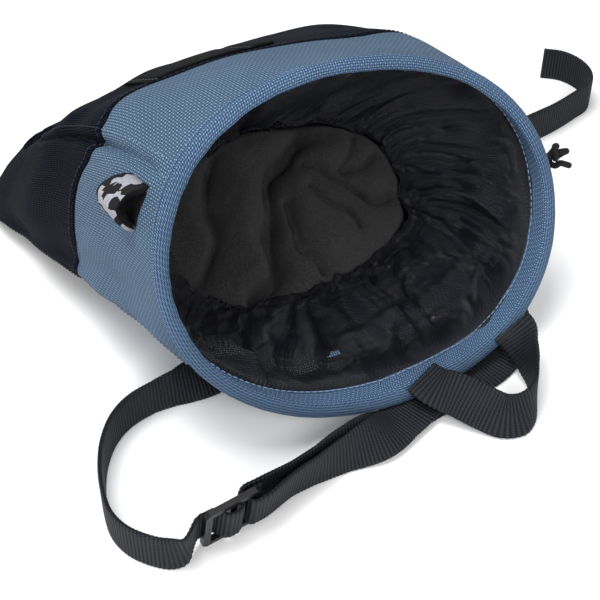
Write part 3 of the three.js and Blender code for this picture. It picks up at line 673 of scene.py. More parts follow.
# The hem's line on the fleece, as shares of the heap's half width and half height
HEM_LINE = (
    (-0.91, 0.24), (-0.45, 0.57), (-0.11, 0.6), (0.18, 0.47), (0.62, 0.26), (0.79, -0.13), (0.77, -0.61),
    (0.67, -0.87), (0.53, -1.09), (0.1, -1.19), (-0.39, -1.18), (-0.63, -1.15), (-0.81, -0.98),
    (-0.97, -0.76), (-1.03, -0.26),
)
HEAP_FOLDS = (
    # points as shares of the heap's half width and half height, depth and reach in millimetres
    (((-0.44, 0.5), (-0.5, 0.3), (-0.61, 0.07), (-0.63, -0.22), (-0.77, -0.51), (-0.95, -0.7)), 7.0, 8.0),
    (((0.24, 0.3), (0.02, 0.19), (-0.11, 0.13), (-0.21, -0.16), (-0.3, -0.5), (-0.32, -0.79),
      (-0.36, -0.95), (-0.6, -1.1)), 14.0, 9.0),
    (((-0.08, -0.3), (-0.11, -0.5), (-0.12, -0.75), (-0.08, -1.05)), 7.0, 6.0),
    (((0.2, 0.04), (0.36, -0.2), (0.47, -0.45), (0.54, -0.57), (0.72, -0.63)), 6.5, 6.5),
    (((0.12, -0.18), (0.18, -0.34), (0.28, -0.55), (0.34, -0.82)), 5.0, 5.5),
    (((0.44, -0.16), (0.54, -0.18), (0.68, -0.16)), 4.0, 4.5),
    (((0.44, -0.1), (0.5, 0.0), (0.6, 0.14)), 4.0, 4.5),
)
HEAP_ROLLS = (
    # middle, reach across and up, turn in degrees and height in millimetres
    (-0.42, -0.1, 0.17, 0.5, -8, 3.0), (0.02, -0.3, 0.16, 0.3, 15, 3.0), (0.4, 0.1, 0.25, 0.16, -25, 3.5),
    (-0.8, -0.2, 0.12, 0.4, 0, 2.0), (0.1, -0.85, 0.2, 0.25, 10, 3.0), (0.55, -0.85, 0.16, 0.22, -20, 2.5),
    (-0.6, -0.85, 0.2, 0.18, 10, 3.0), (-0.1, 0.4, 0.25, 0.12, 5, 2.0), (0.62, -0.4, 0.12, 0.14, 0, 2.5),
)


def eased(line, rounds=3):
    """A line of points with its corners cut off, again and again."""
    line = np.array(line, float) * (HEAP_WIDTH, HEAP_HEIGHT)
    for _ in range(rounds):
        near, far = 0.75 * line[:-1] + 0.25 * line[1:], 0.25 * line[:-1] + 0.75 * line[1:]
        inner = np.stack([near, far], 1).reshape(-1, 2)
        line = np.concatenate([line[:1], inner, line[-1:]])
    return line


def near_line(points, line):
    best = np.full(points.shape[:-1], 1e9)
    for a, b in zip(line[:-1], line[1:]):
        t = np.clip(((points - a) @ (b - a)) / ((b - a) @ (b - a)), 0, 1)
        best = np.minimum(best, np.linalg.norm(points - a - t[..., None] * (b - a), axis=-1))
    return best


def heap_height(flat):
    """How far the heap stands out of its plane: soft rolls that meet in deep valleys."""
    space = np.concatenate([flat, 0 * flat[..., :1]], -1)
    height = 9.5 - 6.0 * ((flat[..., 0] / 58) ** 2 + ((flat[..., 1] + 10) / 44) ** 2)
    for px, pv, wide, tall, turn, lift in HEAP_ROLLS:
        x, v = flat[..., 0] / HEAP_WIDTH - px, flat[..., 1] / HEAP_HEIGHT - pv
        c, s = math.cos(math.radians(turn)), math.sin(math.radians(turn))
        height += lift * np.exp(-(((x * c + v * s) / wide) ** 2) - ((v * c - x * s) / tall) ** 2)
    wander = 1.3 * np.stack([waves(space, 22, 6, 51), waves(space, 22, 6, 52)], -1)
    for line, deep, wide in HEAP_FOLDS:
        near = np.clip((near_line(flat + wander, eased(line)) - 0.16 * deep) / wide, 0, 1)
        height -= deep * (1 - np.sqrt(1 - (1 - near) ** 2)) * (0.85 + 0.15 * waves(space, 16, 5, 55))
    return height + waves(space, 17, 10, 53) * 0.6 + waves(space, 7, 10, 54) * 0.12


def hem_curve(angle, grow=1.0):
    """The line in the heap's plane along which the sleeve's hem lies on the fleece."""
    spots = np.array(HEM_LINE) * (HEAP_WIDTH, HEAP_HEIGHT) - HEAP_HEART
    turn = np.arctan2(spots[:, 1] / HEAP_HEIGHT, spots[:, 0] / HEAP_WIDTH)
    order = np.argsort(turn)
    turn, size = turn[order], np.linalg.norm(spots / (HEAP_WIDTH, HEAP_HEIGHT), axis=1)[order]
    angle = (np.asarray(angle) + math.pi) % (2 * math.pi) - math.pi
    found = sum(
        np.interp(angle + d, np.concatenate([turn - 2 * math.pi, turn, turn + 2 * math.pi]), np.tile(size, 3))
        for d in (-0.16, -0.08, 0, 0.08, 0.16)
    ) / 5
    way = np.stack([np.cos(angle) * HEAP_WIDTH, np.sin(angle) * HEAP_HEIGHT], -1)
    return HEAP_HEART + way * (found * grow)[..., None]


def heap_place(flat, height):
    return HEAP_MIDDLE + flat[..., :1] * HEAP_ACROSS + flat[..., 1:] * HEAP_UP + height[..., None] * HEAP_OUT


heap_angles = np.radians(np.arange(-90, 270, 1.0))
reach = np.linspace(0.012, 1, 130)[:, None, None]
flat = HEAP_HEART + (hem_curve(heap_angles, 1.16) - HEAP_HEART) * reach
tuck = np.clip((reach[..., 0] * 1.16 - 0.97) / 0.19, 0, 1)
heap = heap_place(flat, heap_height(flat) * (1 - 0.5 * tuck) - 7 * tuck ** 1.5)
heap[..., 2] = np.maximum(heap[..., 2], 4.5)
heap_centre = heap[0].mean(0)
below = np.linspace(0, 1, 16)[1:, None]
skirt_at = 0.5 + (0.93 - 0.5) * below
skirt = wall(skirt_at, heap_angles, SHELL_WALL + 1.2)
skirt[:5] += (heap[-1] - skirt[:5]) * (1 - below[:5] / below[5])[..., None] ** 1.5
heel = wall(0.93, heap_angles, SHELL_WALL + 1.2, 0.5)
middle, *_ = section(np.array(0.93))


def fleece_material():
    recipe = Recipe("fleece", 0.95, sheen=0.06, specular=0.05)
    recipe.shader.inputs["Sheen Roughness"].default_value = 0.6
    pile = recipe.noise(1500, 4.0, 0.7)
    clump = recipe.noise(330, 3.0, 0.6)
    cloud = recipe.noise(60, 3.0)
    colour = recipe.mix(recipe.between(pile, 0.3, 0.7), (0.013, 0.013, 0.0132, 1), (0.037, 0.037, 0.0375, 1))
    colour = recipe.mix(recipe.between(cloud, 0.35, 0.7, 0.0, 0.35), colour, (0.026, 0.026, 0.0265, 1))
    height = recipe.math("MULTIPLY_ADD", clump, 1.6, pile)
    return recipe.finish(colour, recipe.relief(height, 0.0006, 0.9))


fleece = grid_solid("fleece_heap", [*heap, *skirt, heel], closed=False, start=heap_centre, end=middle)
fleece.data.materials.append(fleece_material())
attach(fleece, "root")
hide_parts("fleece_lining")

# Inner sleeve
# A tube of thin shiny nylon sewn under the binding. It hangs into the bag in soft crumpled
# folds, and its hem lies round the fleece.
SLEEVE_WALL, SLEEVE_LENGTH, SLEEVE_DROOP, SLEEVE_FOLD = 1.0, 50, 32, 2.6
SLEEVE_WAVES = ((5, 0.9, 0.4), (8, 0.7, 2.1), (13, 0.4, 1.2))
# Large folds of the sleeve: share of its length, angle, reach, width, turn, height in millimetres
SLEEVE_FOLDS = (
    (0.75, 262, 0.55, 7, 24, 5.5), (0.55, 282, 0.4, 6, -18, 4.0), (0.5, 240, 0.45, 7, 10, 4.5),
    (0.7, 305, 0.5, 7, -24, 5.0), (0.45, 325, 0.5, 6, 16, 4.5), (0.75, 342, 0.45, 8, -15, 6.0),
    (0.4, 350, 0.4, 5, 24, 3.5), (0.8, 12, 0.4, 8, 12, 5.0), (0.45, 28, 0.4, 6, -14, 3.5),
    (0.7, 60, 0.4, 8, 10, 3.5), (0.6, 98, 0.5, 9, 22, 4.5), (0.8, 122, 0.4, 8, -14, 4.5),
    (0.4, 112, 0.3, 6, 30, 2.5), (0.6, 150, 0.5, 7, 12, 3.0), (0.6, 205, 0.5, 7, -12, 3.5),
    (0.25, 270, 0.2, 9, 60, 2.5), (0.22, 312, 0.2, 8, 70, 2.5), (0.3, 236, 0.2, 8, -60, 2.0),
)


def fold_wave(rows, angle, twist):
    return sum(h * (0.5 + 0.5 * np.sin(n * angle + turn + twist)) for n, h, turn in rows)


def sleeve_inset(share, angle):
    droop = SLEEVE_DROOP * share ** 1.5 * (0.5 + 0.5 * np.sin(angle - 0.45))
    folds = SLEEVE_FOLD * share ** 0.7 * fold_wave(SLEEVE_WAVES, angle, 1.4 * share)
    return SHELL_WALL + CLEAR + droop + folds


def sleeve_crumple(share, angle):
    degrees = np.degrees(angle)
    height = np.zeros(np.broadcast(share, angle).shape)
    for row_share, row_angle, reach, width, turn, rise in SLEEVE_FOLDS:
        x = (share - row_share) / reach
        y = turn_to(degrees, row_angle + turn * (share - row_share)) / width
        height += rise * np.exp(-(x ** 2)) * np.maximum(0, 1 - np.abs(y) / 1.6) ** 1.3
    where = wall(0.05 + 0.3 * share, angle)
    warp = np.stack([waves(where, 30, 6, seed) for seed in (41, 42, 43)], -1) * 4.5
    drawn = (where + warp) * np.array([1.0, 0.4, 1.0])
    crumple = waves(drawn, 21, 5, 44, True) * 2.8 + waves(drawn * (1.0, 1.6, 1.0), 9, 6, 45, True) * 0.8
    crumple += waves(where + warp * 0.6, 6.0, 6, 46) * 0.1
    grip = np.clip((share - 0.09) / 0.18, 0, 1)
    return (height + crumple * (0.55 + 0.45 * share)) * grip


sleeve_angles = np.radians(np.arange(-90, 270, 0.8))
share = np.linspace(0, 1, 130)[:, None]
depth = BINDING_WIDTH * 0.5 + share * (SLEEVE_LENGTH + BINDING_WIDTH * 0.5 + CLEAR)
at = depth / wall_length(sleeve_angles)
droop_limit = section(at)[3] - 6
base = wall(at, sleeve_angles, np.minimum(sleeve_inset(share, sleeve_angles) + SLEEVE_WALL, droop_limit))
hem = hem_curve(sleeve_angles)
hem_wave = 1.6 * waves(np.concatenate([hem, 0 * hem[:, :1]], 1), 16, 6, 61)
hem = HEAP_HEART + (hem - HEAP_HEART) * (1 + hem_wave / 60)[:, None]
hem_place = heap_place(hem, heap_height(hem) + 1.2)
pull = np.clip((share - 0.3) / 0.7, 0, 1) ** 2 * (3 - 2 * np.clip((share - 0.3) / 0.7, 0, 1))
smooth = base + (hem_place - base) * pull[..., None]
run = np.gradient(smooth, axis=0)
girth = np.roll(smooth, -1, 1) - np.roll(smooth, 1, 1)
facing = np.cross(girth, run)
facing /= np.linalg.norm(facing, axis=-1)[..., None]
inward = smooth.mean(1, keepdims=True) - smooth
facing *= np.sign((facing * inward).sum(-1))[..., None]
crumple = sleeve_crumple(share, sleeve_angles)
room = np.clip(np.linalg.norm(smooth - wall(at, sleeve_angles, SHELL_WALL), axis=-1) - 0.6, 0.2, 3.5)
inside = smooth + facing * np.maximum(crumple * (1 - 0.55 * pull), -room)[..., None]
outside = (inside - facing * np.minimum(0.6, room * 0.8)[..., None])[::-8]
# The nylon's pale colour is a strong painted sheen highlight on the thread crowns, and its dark colour is
# painted shade in the gaps.
nylon = woven(
    "sleeve_nylon",
    dark=(0.0003, 0.0004, 0.0008),
    mid=(0.0026, 0.003, 0.0058),
    pale=(0.04, 0.043, 0.064),
    pitch=0.00082,
    depth=0.0003,
    roughness=0.34,
    specular=0.38,
)
sleeve = grid_solid("inner_sleeve_cloth", np.concatenate([inside, outside]))
sleeve.data.materials.append(nylon)
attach(sleeve, "root")
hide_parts("inner_sleeve")

# Belt and haul loop
# Ribbed polyester webbing, 15 mm wide: one long belt with a free end, its second layer up to
# the slider, and the short haul loop sewn under the binding.
WEB_WIDTH, WEB_THICK, RIB_PITCH = 15, 1.6, 1.3
KEEPER_LIFT = 1.8
OVER_BELT = 2.2
SLIDER_LENGTH, SLIDER_THICK, SLIDER_BAR, SLIDER_RIM = 19.5, 2, 2.5, 2
slider_lean = math.radians(-12)
slider_along = np.array([-1, -0.03, 0]) / math.hypot(1, 0.03)
slider_side = np.array([slider_along[1], -slider_along[0], 0])
slider_wide = np.array([0, 0, 1]) * math.cos(slider_lean) + slider_side * math.sin(slider_lean)
slider_normal = np.cross(slider_wide, slider_along)
slider_centre = np.array([
    -1.02 * MOUTH_WIDTH / 2,
    MOUTH_BACK_Y - 0.074 * BACK_LENGTH,
    (WEB_WIDTH / 2 + CLEAR + SLIDER_RIM) * math.cos(slider_lean) + SLIDER_THICK / 2 * math.sin(-slider_lean),
])
LAYER = SLIDER_THICK / 2 + CLEAR + WEB_THICK / 2
NEXT = WEB_THICK + CLEAR
BAR_END = SLIDER_LENGTH / 2 - SLIDER_BAR
BAR_MIDDLE = SLIDER_LENGTH / 2 - SLIDER_BAR / 2
SLOT_MIDDLE = (BAR_END + SLIDER_BAR / 2) / 2


def laid(across, along, tilt, lift):
    """A place on the table: shares of half the mouth's width and of the back length."""
    x, y = across * MOUTH_WIDTH / 2, MOUTH_BACK_Y + along * BACK_LENGTH
    return dict(x=x, y=y, lean=math.radians(tilt), lift=lift)


def on_slider(u, off):
    middle = slider_centre - slider_along * u + slider_normal * off
    return dict(x=middle[0], y=middle[1], middle=middle, wide=slider_wide)


# Routes of the straps: across, along, tilt in degrees and lift in millimetres, as laid takes them
BELT_AWAY = (
    (2.303, 0.726, 0, 0), (2.38, 0.69, 0, 0), (2.405, 0.64, 0, 0), (2.375, 0.59, 0, 0),
    (2.3, 0.557, 0, 0), (2.18, 0.545, 0, 0), (1.98, 0.531, 0, 0), (1.737, 0.526, 0, 0),
    (1.5, 0.51, 6, 0), (1.3, 0.475, 25, 0),
    (1.13, 0.415, 55, 0), (1.0, 0.32, 76, 0.1), (0.91, 0.21, 80, 0.1), (0.82, 0.115, 76, 0.1),
    (0.7, 0.04, 80, 0.1), (0.5, 0.0, 90, 0.1), (0.25, -0.008, 90, 0.1), (0.05, -0.012, 90, 0.1),
    (-0.1, -0.02, 88, 0.1),
    (-0.24, -0.037, 52, 0), (-0.4, -0.037, 15, 0), (-0.56, -0.04, -4, 0.4), (-0.7, -0.045, -10, 1.2),
)
BELT_SLIDER = (
    (SLIDER_LENGTH / 2 + 1, -LAYER - NEXT), (BAR_END - 1, -LAYER - NEXT), (SLOT_MIDDLE, -LAYER - 0.4),
    (SLOT_MIDDLE - 0.8, 0), (SLIDER_BAR / 2 + 0.6, LAYER - 0.1), (0, LAYER + 0.1),
    (-SLIDER_BAR / 2 - 0.8, LAYER - 0.2), (-SLOT_MIDDLE + 0.6, 0), (-SLOT_MIDDLE - 0.6, -LAYER + 0.3),
    (-BAR_END - 0.6, -LAYER - 0.1),
    (-SLIDER_LENGTH / 2 - 1, -LAYER),
)
BELT_LOOP = (
    (-1.25, -0.084, -6, 0.6), (-1.31, -0.074, 0, 0), (-1.37, -0.048, 0, 0), (-1.42, -0.01, 0, 0),
    (-1.435, 0.034, 0, 0), (-1.405, 0.087, 0, 0), (-1.355, 0.137, 0, 0), (-1.288, 0.182, 0, 0),
    (-1.195, 0.222, 0, 0), (-1.09, 0.245, 0, 0),
    (-0.96, 0.253, 0, 0), (-0.853, 0.252, -8, 0), (-0.75, 0.254, -30, 0), (-0.62, 0.264, -64, 0.1),
    (-0.44, 0.284, -90, 0.3), (-0.24, 0.296, -90, KEEPER_LIFT), (0.24, 0.3, -90, KEEPER_LIFT),
)
TAIL_RUN = (
    (0.2, 0.12, 90, OVER_BELT), (0.195, 0.06, 90, OVER_BELT), (0.15, 0.005, 90, OVER_BELT),
    (0.03, -0.018, 90, OVER_BELT), (-0.1, -0.034, 84, OVER_BELT), (-0.24, -0.055, 47, 1.2),
    (-0.41, -0.056, 12, 0), (-0.58, -0.06, -5, 0.4),
    (-0.7, -0.066, -10, 1.2),
)
TAIL_FOLD = (
    (SLIDER_LENGTH / 2 + 2, LAYER), (BAR_MIDDLE, LAYER), (BAR_END - 0.6, LAYER * 0.88),
    (BAR_END - CLEAR - WEB_THICK / 2, 0), (BAR_END - 0.6, -LAYER * 0.88), (BAR_MIDDLE, -LAYER),
    (SLIDER_LENGTH / 2 + 2, -LAYER),
)
HAUL_ROWS = (
    (0.1, 0.012, -86, 9.2), (0.125, -0.02, -76, 7), (0.18, -0.055, -60, 4.6), (0.245, -0.1, -48, 1.6),
    (0.3, -0.135, -40, 0.1), (0.36, -0.15, -30, 0), (0.43, -0.146, -16, 0), (0.49, -0.128, -6, 0),
    (0.55, -0.09, 4, 1.5), (0.59, -0.045, 20, 4.6), (0.61, -0.012, 44, 8), (0.61, 0.008, 58, 10),
)


def run_curve(points, fineness):
    """A smooth curve through the points, that doesn't loop where they lie close."""
    points = np.array(points)
    whole = np.concatenate([[2 * points[0] - points[1]], points, [2 * points[-1] - points[-2]]])
    found = []
    for k in range(len(points) - 1):
        p0, p1, p2, p3 = whole[k:k + 4]
        d0, d1, d2 = (max(np.linalg.norm(b - a), 1e-4) ** 0.5 for a, b in ((p0, p1), (p1, p2), (p2, p3)))
        t1 = ((p1 - p0) / d0 - (p2 - p0) / (d0 + d1) + (p2 - p1) / d1) * d1
        t2 = ((p2 - p1) / d1 - (p3 - p1) / (d1 + d2) + (p3 - p2) / d2) * d1
        for t in np.arange(fineness) / fineness:
            a = 2 * t ** 3 - 3 * t ** 2 + 1
            b = t ** 3 - 2 * t ** 2 + t
            c = -2 * t ** 3 + 3 * t ** 2
            found.append(a * p1 + b * t1 + c * p2 + (t ** 3 - t ** 2) * t2)
    return np.array(found + [points[-1]])


def webbing(name, rows, width=WEB_WIDTH, thick=WEB_THICK, samples=6):
    """A ribbed strap along rows of a route."""
    middles, wides = [], []
    for k, row in enumerate(rows):
        if "middle" not in row:
            before, after = rows[max(k - 1, 0)], rows[min(k + 1, len(rows) - 1)]
            side = np.array([after["y"] - before["y"], before["x"] - after["x"], 0])
            side /= np.linalg.norm(side)
            tilt = row["lean"]
            tall = width / 2 * abs(math.cos(tilt)) + thick / 2 * abs(math.sin(tilt))
            middles.append([row["x"], row["y"], row["lift"] + tall])
            wides.append(np.array([0, 0, 1]) * math.cos(tilt) + side * math.sin(tilt))
        else:
            middles.append(row["middle"])
            wides.append(row["wide"])
    path = run_curve(middles, 16)
    spot = np.arange(len(path)) / 16
    wide = np.stack([np.interp(spot, np.arange(len(wides)), np.array(wides)[:, i]) for i in range(3)], 1)
    length = np.concatenate([[0], np.cumsum(np.linalg.norm(np.diff(path, axis=0), axis=1))])
    even = np.arange(0, length[-1], RIB_PITCH / samples)
    path = np.stack([np.interp(even, length, path[:, i]) for i in range(3)], 1)
    wide = np.stack([np.interp(even, length, wide[:, i]) for i in range(3)], 1)
    along = np.gradient(path, axis=0)
    along /= np.linalg.norm(along, axis=1)[:, None]
    wide -= along * (wide * along).sum(1)[:, None]
    wide /= np.linalg.norm(wide, axis=1)[:, None]
    normal = np.cross(wide, along)
    across = np.array([-1, -0.94, -0.86, -0.6, -0.3, 0, 0.3, 0.6, 0.86, 0.94, 1])
    rib = np.abs(np.sin(np.pi * even / RIB_PITCH))
    ring = []
    for face in (1, -1):
        for a in across * face:
            edge = 1 - 0.35 * max(0, (abs(a) - 0.86) / 0.14)
            swell = 0.66 + 0.34 * rib if abs(a) < 0.99 else 0.45 + 0.3 * rib
            ring.append((np.full(len(even), a), edge * swell * face))
    half_width, half_thick = width / 2 * (0.985 + 0.015 * rib), thick / 2
    points = np.stack([
        path + wide * (a * half_width)[:, None] + normal * (b * half_thick)[:, None] for a, b in ring
    ], 1)
    points[..., 2] = np.maximum(points[..., 2], 0.02)
    count, around = points.shape[:2]
    faces, uv = [], []
    u = even * MM
    v = np.concatenate([across, 2 + across[::-1]]) * width / 2 * MM
    for r in range(count - 1):
        for c in range(around):
            d = (c + 1) % around
            faces.append((r * around + c, r * around + d, (r + 1) * around + d, (r + 1) * around + c))
            vc, vd = v[c], v[c + 1] if c + 1 < around else v[c] + 0.0003
            uv += [(u[r], vc), (u[r], vd), (u[r + 1], vd), (u[r + 1], vc)]
    half = len(across)
    for row, flip in ((0, False), (count - 1, True)):
        for c in range(half - 1):
            first, last = row * around, row * around + around - 1
            quad = [first + c, last - c, last - c - 1, first + c + 1]
            faces.append(tuple(quad[::-1] if flip else quad))
            uv += [(u[row], v[c])] * len(quad)
    points = (points.reshape(-1, 3) - FOOT) * MM
    strap = mesh_object(name, points, faces, uv)
    volume = 0.0
    for f in strap.data.polygons:
        ids = list(f.vertices)
        for i in range(1, len(ids) - 1):
            volume += np.dot(points[ids[0]], np.cross(points[ids[i]], points[ids[i + 1]]))
    if volume < 0:
        strap.data.flip_normals()
    return strap


def webbing_material(name, dark, mid, pale):
    recipe = Recipe(name, 0.62, specular=0.2)
    u, v = recipe.uv()
    rib = recipe.math("ABSOLUTE", recipe.math("SINE", recipe.math("MULTIPLY", u, math.pi / (RIB_PITCH * MM))))
    slope = recipe.math("DIVIDE", u, RIB_PITCH * MM * 2)
    twill = recipe.math("FRACT", recipe.math("ADD", recipe.math("DIVIDE", v, 0.0009), slope))
    yarn = recipe.math("SINE", recipe.math("MULTIPLY", twill, math.pi))
    # Painted shade: the grooves between the ribs take the dark colour.
    colour = recipe.mix(recipe.between(rib, 0.15, 0.9), (*dark, 1), (*mid, 1))
    # Painted highlight: the pale colour on the ribs' crowns, along the twill's yarns.
    crown = recipe.math("MULTIPLY", recipe.between(rib, 0.6, 1.0), recipe.between(yarn, 0.4, 1.0, 0.0, 0.7))
    colour = recipe.mix(crown, colour, (*pale, 1))
    dust = recipe.between(recipe.noise(45, 4.0), 0.45, 0.8, 0.0, 0.25)
    colour = recipe.mix(dust, colour, (*pale, 1))
    height = recipe.math("MULTIPLY_ADD", recipe.noise(2500, 2.0), 0.3, yarn)
    return recipe.finish(colour, recipe.relief(height, 0.00012, 0.8))


web = webbing_material("webbing", (0.0012, 0.0015, 0.0025), (0.0075, 0.009, 0.013), (0.026, 0.03, 0.038))
belt_rows = [laid(*r) for r in BELT_AWAY]
belt_rows += [on_slider(*r) for r in BELT_SLIDER]
belt_rows += [laid(*r) for r in BELT_LOOP]
tail_rows = [laid(*r) for r in TAIL_RUN] + [on_slider(*r) for r in TAIL_FOLD]
for name, node, rows in (
    ("belt_webbing", "belt", belt_rows), ("belt_tail_webbing", "belt_tail", tail_rows),
    ("haul_loop_webbing", "haul_loop", [laid(*r) for r in HAUL_ROWS]),
):
    strap = webbing(name, rows)
    strap.data.materials.append(web)
    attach(strap, "root")
    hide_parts(node)

# Slider and keeper
# A plain moulded plastic slider joins the belt's layers; the keeper is a flat loop of webbing
# sewn across the middle of the back.
recipe = Recipe("moulded_plastic", 0.45, specular=0.3)
grain = recipe.noise(2200, 2.0)
scuff = recipe.between(recipe.noise(120, 4.0), 0.5, 0.75)
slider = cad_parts["belt_slider"]
slider.data.materials.clear()
slider.data.materials.append(recipe.finish(
    recipe.mix(scuff, (0.004, 0.004, 0.005, 1), (0.012, 0.012, 0.014, 1)), recipe.relief(grain, 0.00005),
    recipe.between(grain, 0.3, 0.7, 0.36, 0.5),
))
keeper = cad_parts["belt_keeper"]
recipe = Recipe("keeper_tape", 0.7, specular=0.2)
split = recipe.node("ShaderNodeSeparateXYZ")
recipe.join(recipe.place(), split.inputs[0])
KEEPER_RIB = 0.0012
wave = recipe.math("SINE", recipe.math("MULTIPLY", split.outputs[1], math.pi / KEEPER_RIB))
rib = recipe.math("ABSOLUTE", wave)
# Painted shade and highlight: the tape is darker in the grooves between its ribs and lighter on their crowns.
keeper.data.materials.clear()
keeper.data.materials.append(recipe.finish(
    recipe.mix(rib, (0.0015, 0.002, 0.003, 1), (0.009, 0.011, 0.015, 1)), recipe.relief(rib, 0.0003),
))

# Name tab
# A blank strip of fine black ribbon on the front, a little proud of the cloth, folded under
# and stitched across both ends.
TAB_LENGTH, TAB_WIDTH, TAB_THICK, TAB_GAP = 48, 16, 1.2, 3
tab_at = float(blue_share(math.pi / 2)) + (TAB_GAP + TAB_WIDTH / 2) / float(wall_length(math.pi / 2))
tab_turn = TAB_LENGTH / float(section(np.array(tab_at))[2]) / 1.21
tab_centre = math.pi / 2 + 0.27
tab_half = TAB_WIDTH / 2 / float(wall_length(math.pi / 2))
u = np.linspace(0, 1, 90)[:, None]
tab_angle = tab_centre + tab_turn * (0.5 - u)
profile = np.array([
    (-1, 0.15), (-1.02, 0.7), (-0.99, 1.15), (-0.9, 1.25), (-0.82, 1.15), (-0.5, 1.2), (0, 1.25),
    (0.5, 1.2), (0.82, 1.15), (0.9, 1.25), (0.99, 1.15), (1.02, 0.7), (1, 0.15), (0.5, 0.15),
    (0, 0.15), (-0.5, 0.15),
])
near_end = np.minimum(u, 1 - u) * TAB_LENGTH
puff = 1 - 0.35 * np.exp(-(((near_end - 4.5) / 1.0) ** 2)) + 0.1 * np.sin(u * 9)
shape_at = tab_at + profile[:, 0] * tab_half
rise_mm = CLEAR + profile[:, 1] * puff
tab_points = wall(shape_at, tab_angle, -rise_mm)


def strip_solid(name, rows):
    """Closed skin of rows of points whose ends are closed by a fan."""
    count, around = rows.shape[:2]
    faces, uv = [], []
    for r in range(count - 1):
        for c in range(around):
            d = (c + 1) % around
            faces.append((r * around + c, r * around + d, (r + 1) * around + d, (r + 1) * around + c))
    points = np.concatenate([rows.reshape(-1, 3), rows[0].mean(0)[None], rows[-1].mean(0)[None]])
    for c in range(around):
        d = (c + 1) % around
        faces.append((c, count * around, d))
        faces.append(((count - 1) * around + c, (count - 1) * around + d, count * around + 1))
    points = (points - FOOT) * MM
    volume = sum(
        np.dot(points[f[0]], np.cross(points[f[i]], points[f[i + 1]]))
        for f in faces
        for i in range(1, len(f) - 1)
    )
    if volume < 0:
        faces = [f[::-1] for f in faces]
    steps = np.linalg.norm(np.diff(rows[:, around // 2], axis=0), axis=1)
    run = np.concatenate([[0], np.cumsum(steps)]) * MM
    ring = np.concatenate([[0], np.cumsum(np.linalg.norm(np.diff(rows[count // 2], axis=0), axis=1))]) * MM
    for f in faces:
        for i in f:
            k = min(i, count * around - 1)
            uv.append((run[k // around], ring[k % around]))
    return mesh_object(name, points, faces, uv)


tab = strip_solid("name_tab_ribbon", tab_points)
recipe = Recipe("tab_ribbon", 0.8, specular=0.06)
u, v = recipe.uv()
weft = recipe.math("SINE", recipe.math("MULTIPLY", v, 2 * math.pi / 0.0005))
warp = recipe.math("SINE", recipe.math("MULTIPLY", u, 2 * math.pi / 0.0007))
height = recipe.math("MULTIPLY", weft, warp)
# Painted shade and highlight: the ribbon's colour follows its weave's height, darker in the hollows and
# lighter on the raised threads.
tone = recipe.between(height, -0.8, 0.8)
colour = recipe.mix(tone, (0.0015, 0.0016, 0.002, 1), (0.009, 0.0095, 0.011, 1))
tab.data.materials.append(recipe.finish(colour, recipe.relief(height, 0.0001)))
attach(tab, "root")
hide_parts("name_tab")
grey_thread = thread_material("grey_thread", (0.1, 0.11, 0.12), (0.05, 0.055, 0.06))
ends = []
for share in (4.5 / TAB_LENGTH, 1 - 4.5 / TAB_LENGTH):
    angle = tab_centre + tab_turn * (0.5 - share)
    at = tab_at + np.linspace(-0.92, 0.92, 12) * tab_half
    ends.append(wall(at, angle, -CLEAR - TAB_THICK * 0.75))
stitches("tab_stitches", ends, grey_thread, 1.9, 1.4, 0.35)

# Brush loop
# A short arch of printed webbing on the left side, open towards the mouth, over a black strip
# sewn to the cloth. Its print is a generic one of pale broken shards on black.
BRUSH_WIDTH, BRUSH_SKEW, BRUSH_CHORD, BRUSH_RISE, BRUSH_THICK = 11, 5, 20, 9, 1.4
brush_angle, brush_from = math.radians(165), 0.08
brush_half = BRUSH_CHORD / 2 / float(section(np.array(brush_from))[2])
BRUSH_ROWS = 20
turns = np.linspace(-1, 1, 48)


def brush_row(run, turns, rise):
    """Points across the loop at a share of its width, standing out from the cloth."""
    at = brush_from + (BRUSH_WIDTH * run + BRUSH_SKEW * (turns + 1) / 2) / float(wall_length(brush_angle))
    foot = wall(at, brush_angle + brush_half * turns, -CLEAR)
    out = wall(at, brush_angle, -BRUSH_RISE) - wall(at, brush_angle, 0)
    return foot + out / np.linalg.norm(out, axis=-1)[:, None] * np.asarray(rise)[:, None]


rows, back_rows = [], []
for run in np.linspace(0, 1, BRUSH_ROWS):
    hump = np.sqrt(np.maximum(0, 1 - turns ** 2))
    slack = 0.35 * math.sin(run * 5) + 0.25 * np.sin(turns * 6 + run * 2)
    under = brush_row(run, turns * 0.93, (BRUSH_RISE - BRUSH_THICK + slack) * hump + 0.02)
    over = brush_row(run, turns[::-1] * 1.05, (BRUSH_RISE + slack[::-1]) * hump + 0.3)
    rows.append(np.concatenate([under, over]))
    flat_turns = turns[::4] * 0.9
    low = brush_row(run * 1.02 - 0.01, flat_turns, 0 * flat_turns - 0.1)
    high = brush_row(run * 1.02 - 0.01, flat_turns[::-1], 0 * flat_turns + 0.35)
    back_rows.append(np.concatenate([low, high]))
brush = strip_solid("brush_loop_webbing", np.array(rows))
recipe = Recipe("shard_print", 0.7, specular=0.2)
bent = recipe.node("ShaderNodeMapping")
bent.inputs["Rotation"].default_value = (0.5, 0.3, 0.8)
bent.inputs["Scale"].default_value = (1.0, 1.8, 1.0)
recipe.join(recipe.place(), bent.inputs[0])
cells = recipe.node("ShaderNodeTexVoronoi", feature="F1", distance="MANHATTAN")
recipe.join(bent.outputs[0], cells.inputs["Vector"])
cells.inputs["Scale"].default_value = 230
pick = recipe.node("ShaderNodeSeparateXYZ")
recipe.join(cells.outputs["Color"], pick.inputs[0])
pale_shard = recipe.math("GREATER_THAN", pick.outputs[0], 0.56)
worn = recipe.between(recipe.noise(900, 3.0), 0.3, 0.6, 0.75, 1.0)
shard = recipe.math("MULTIPLY", pale_shard, worn)
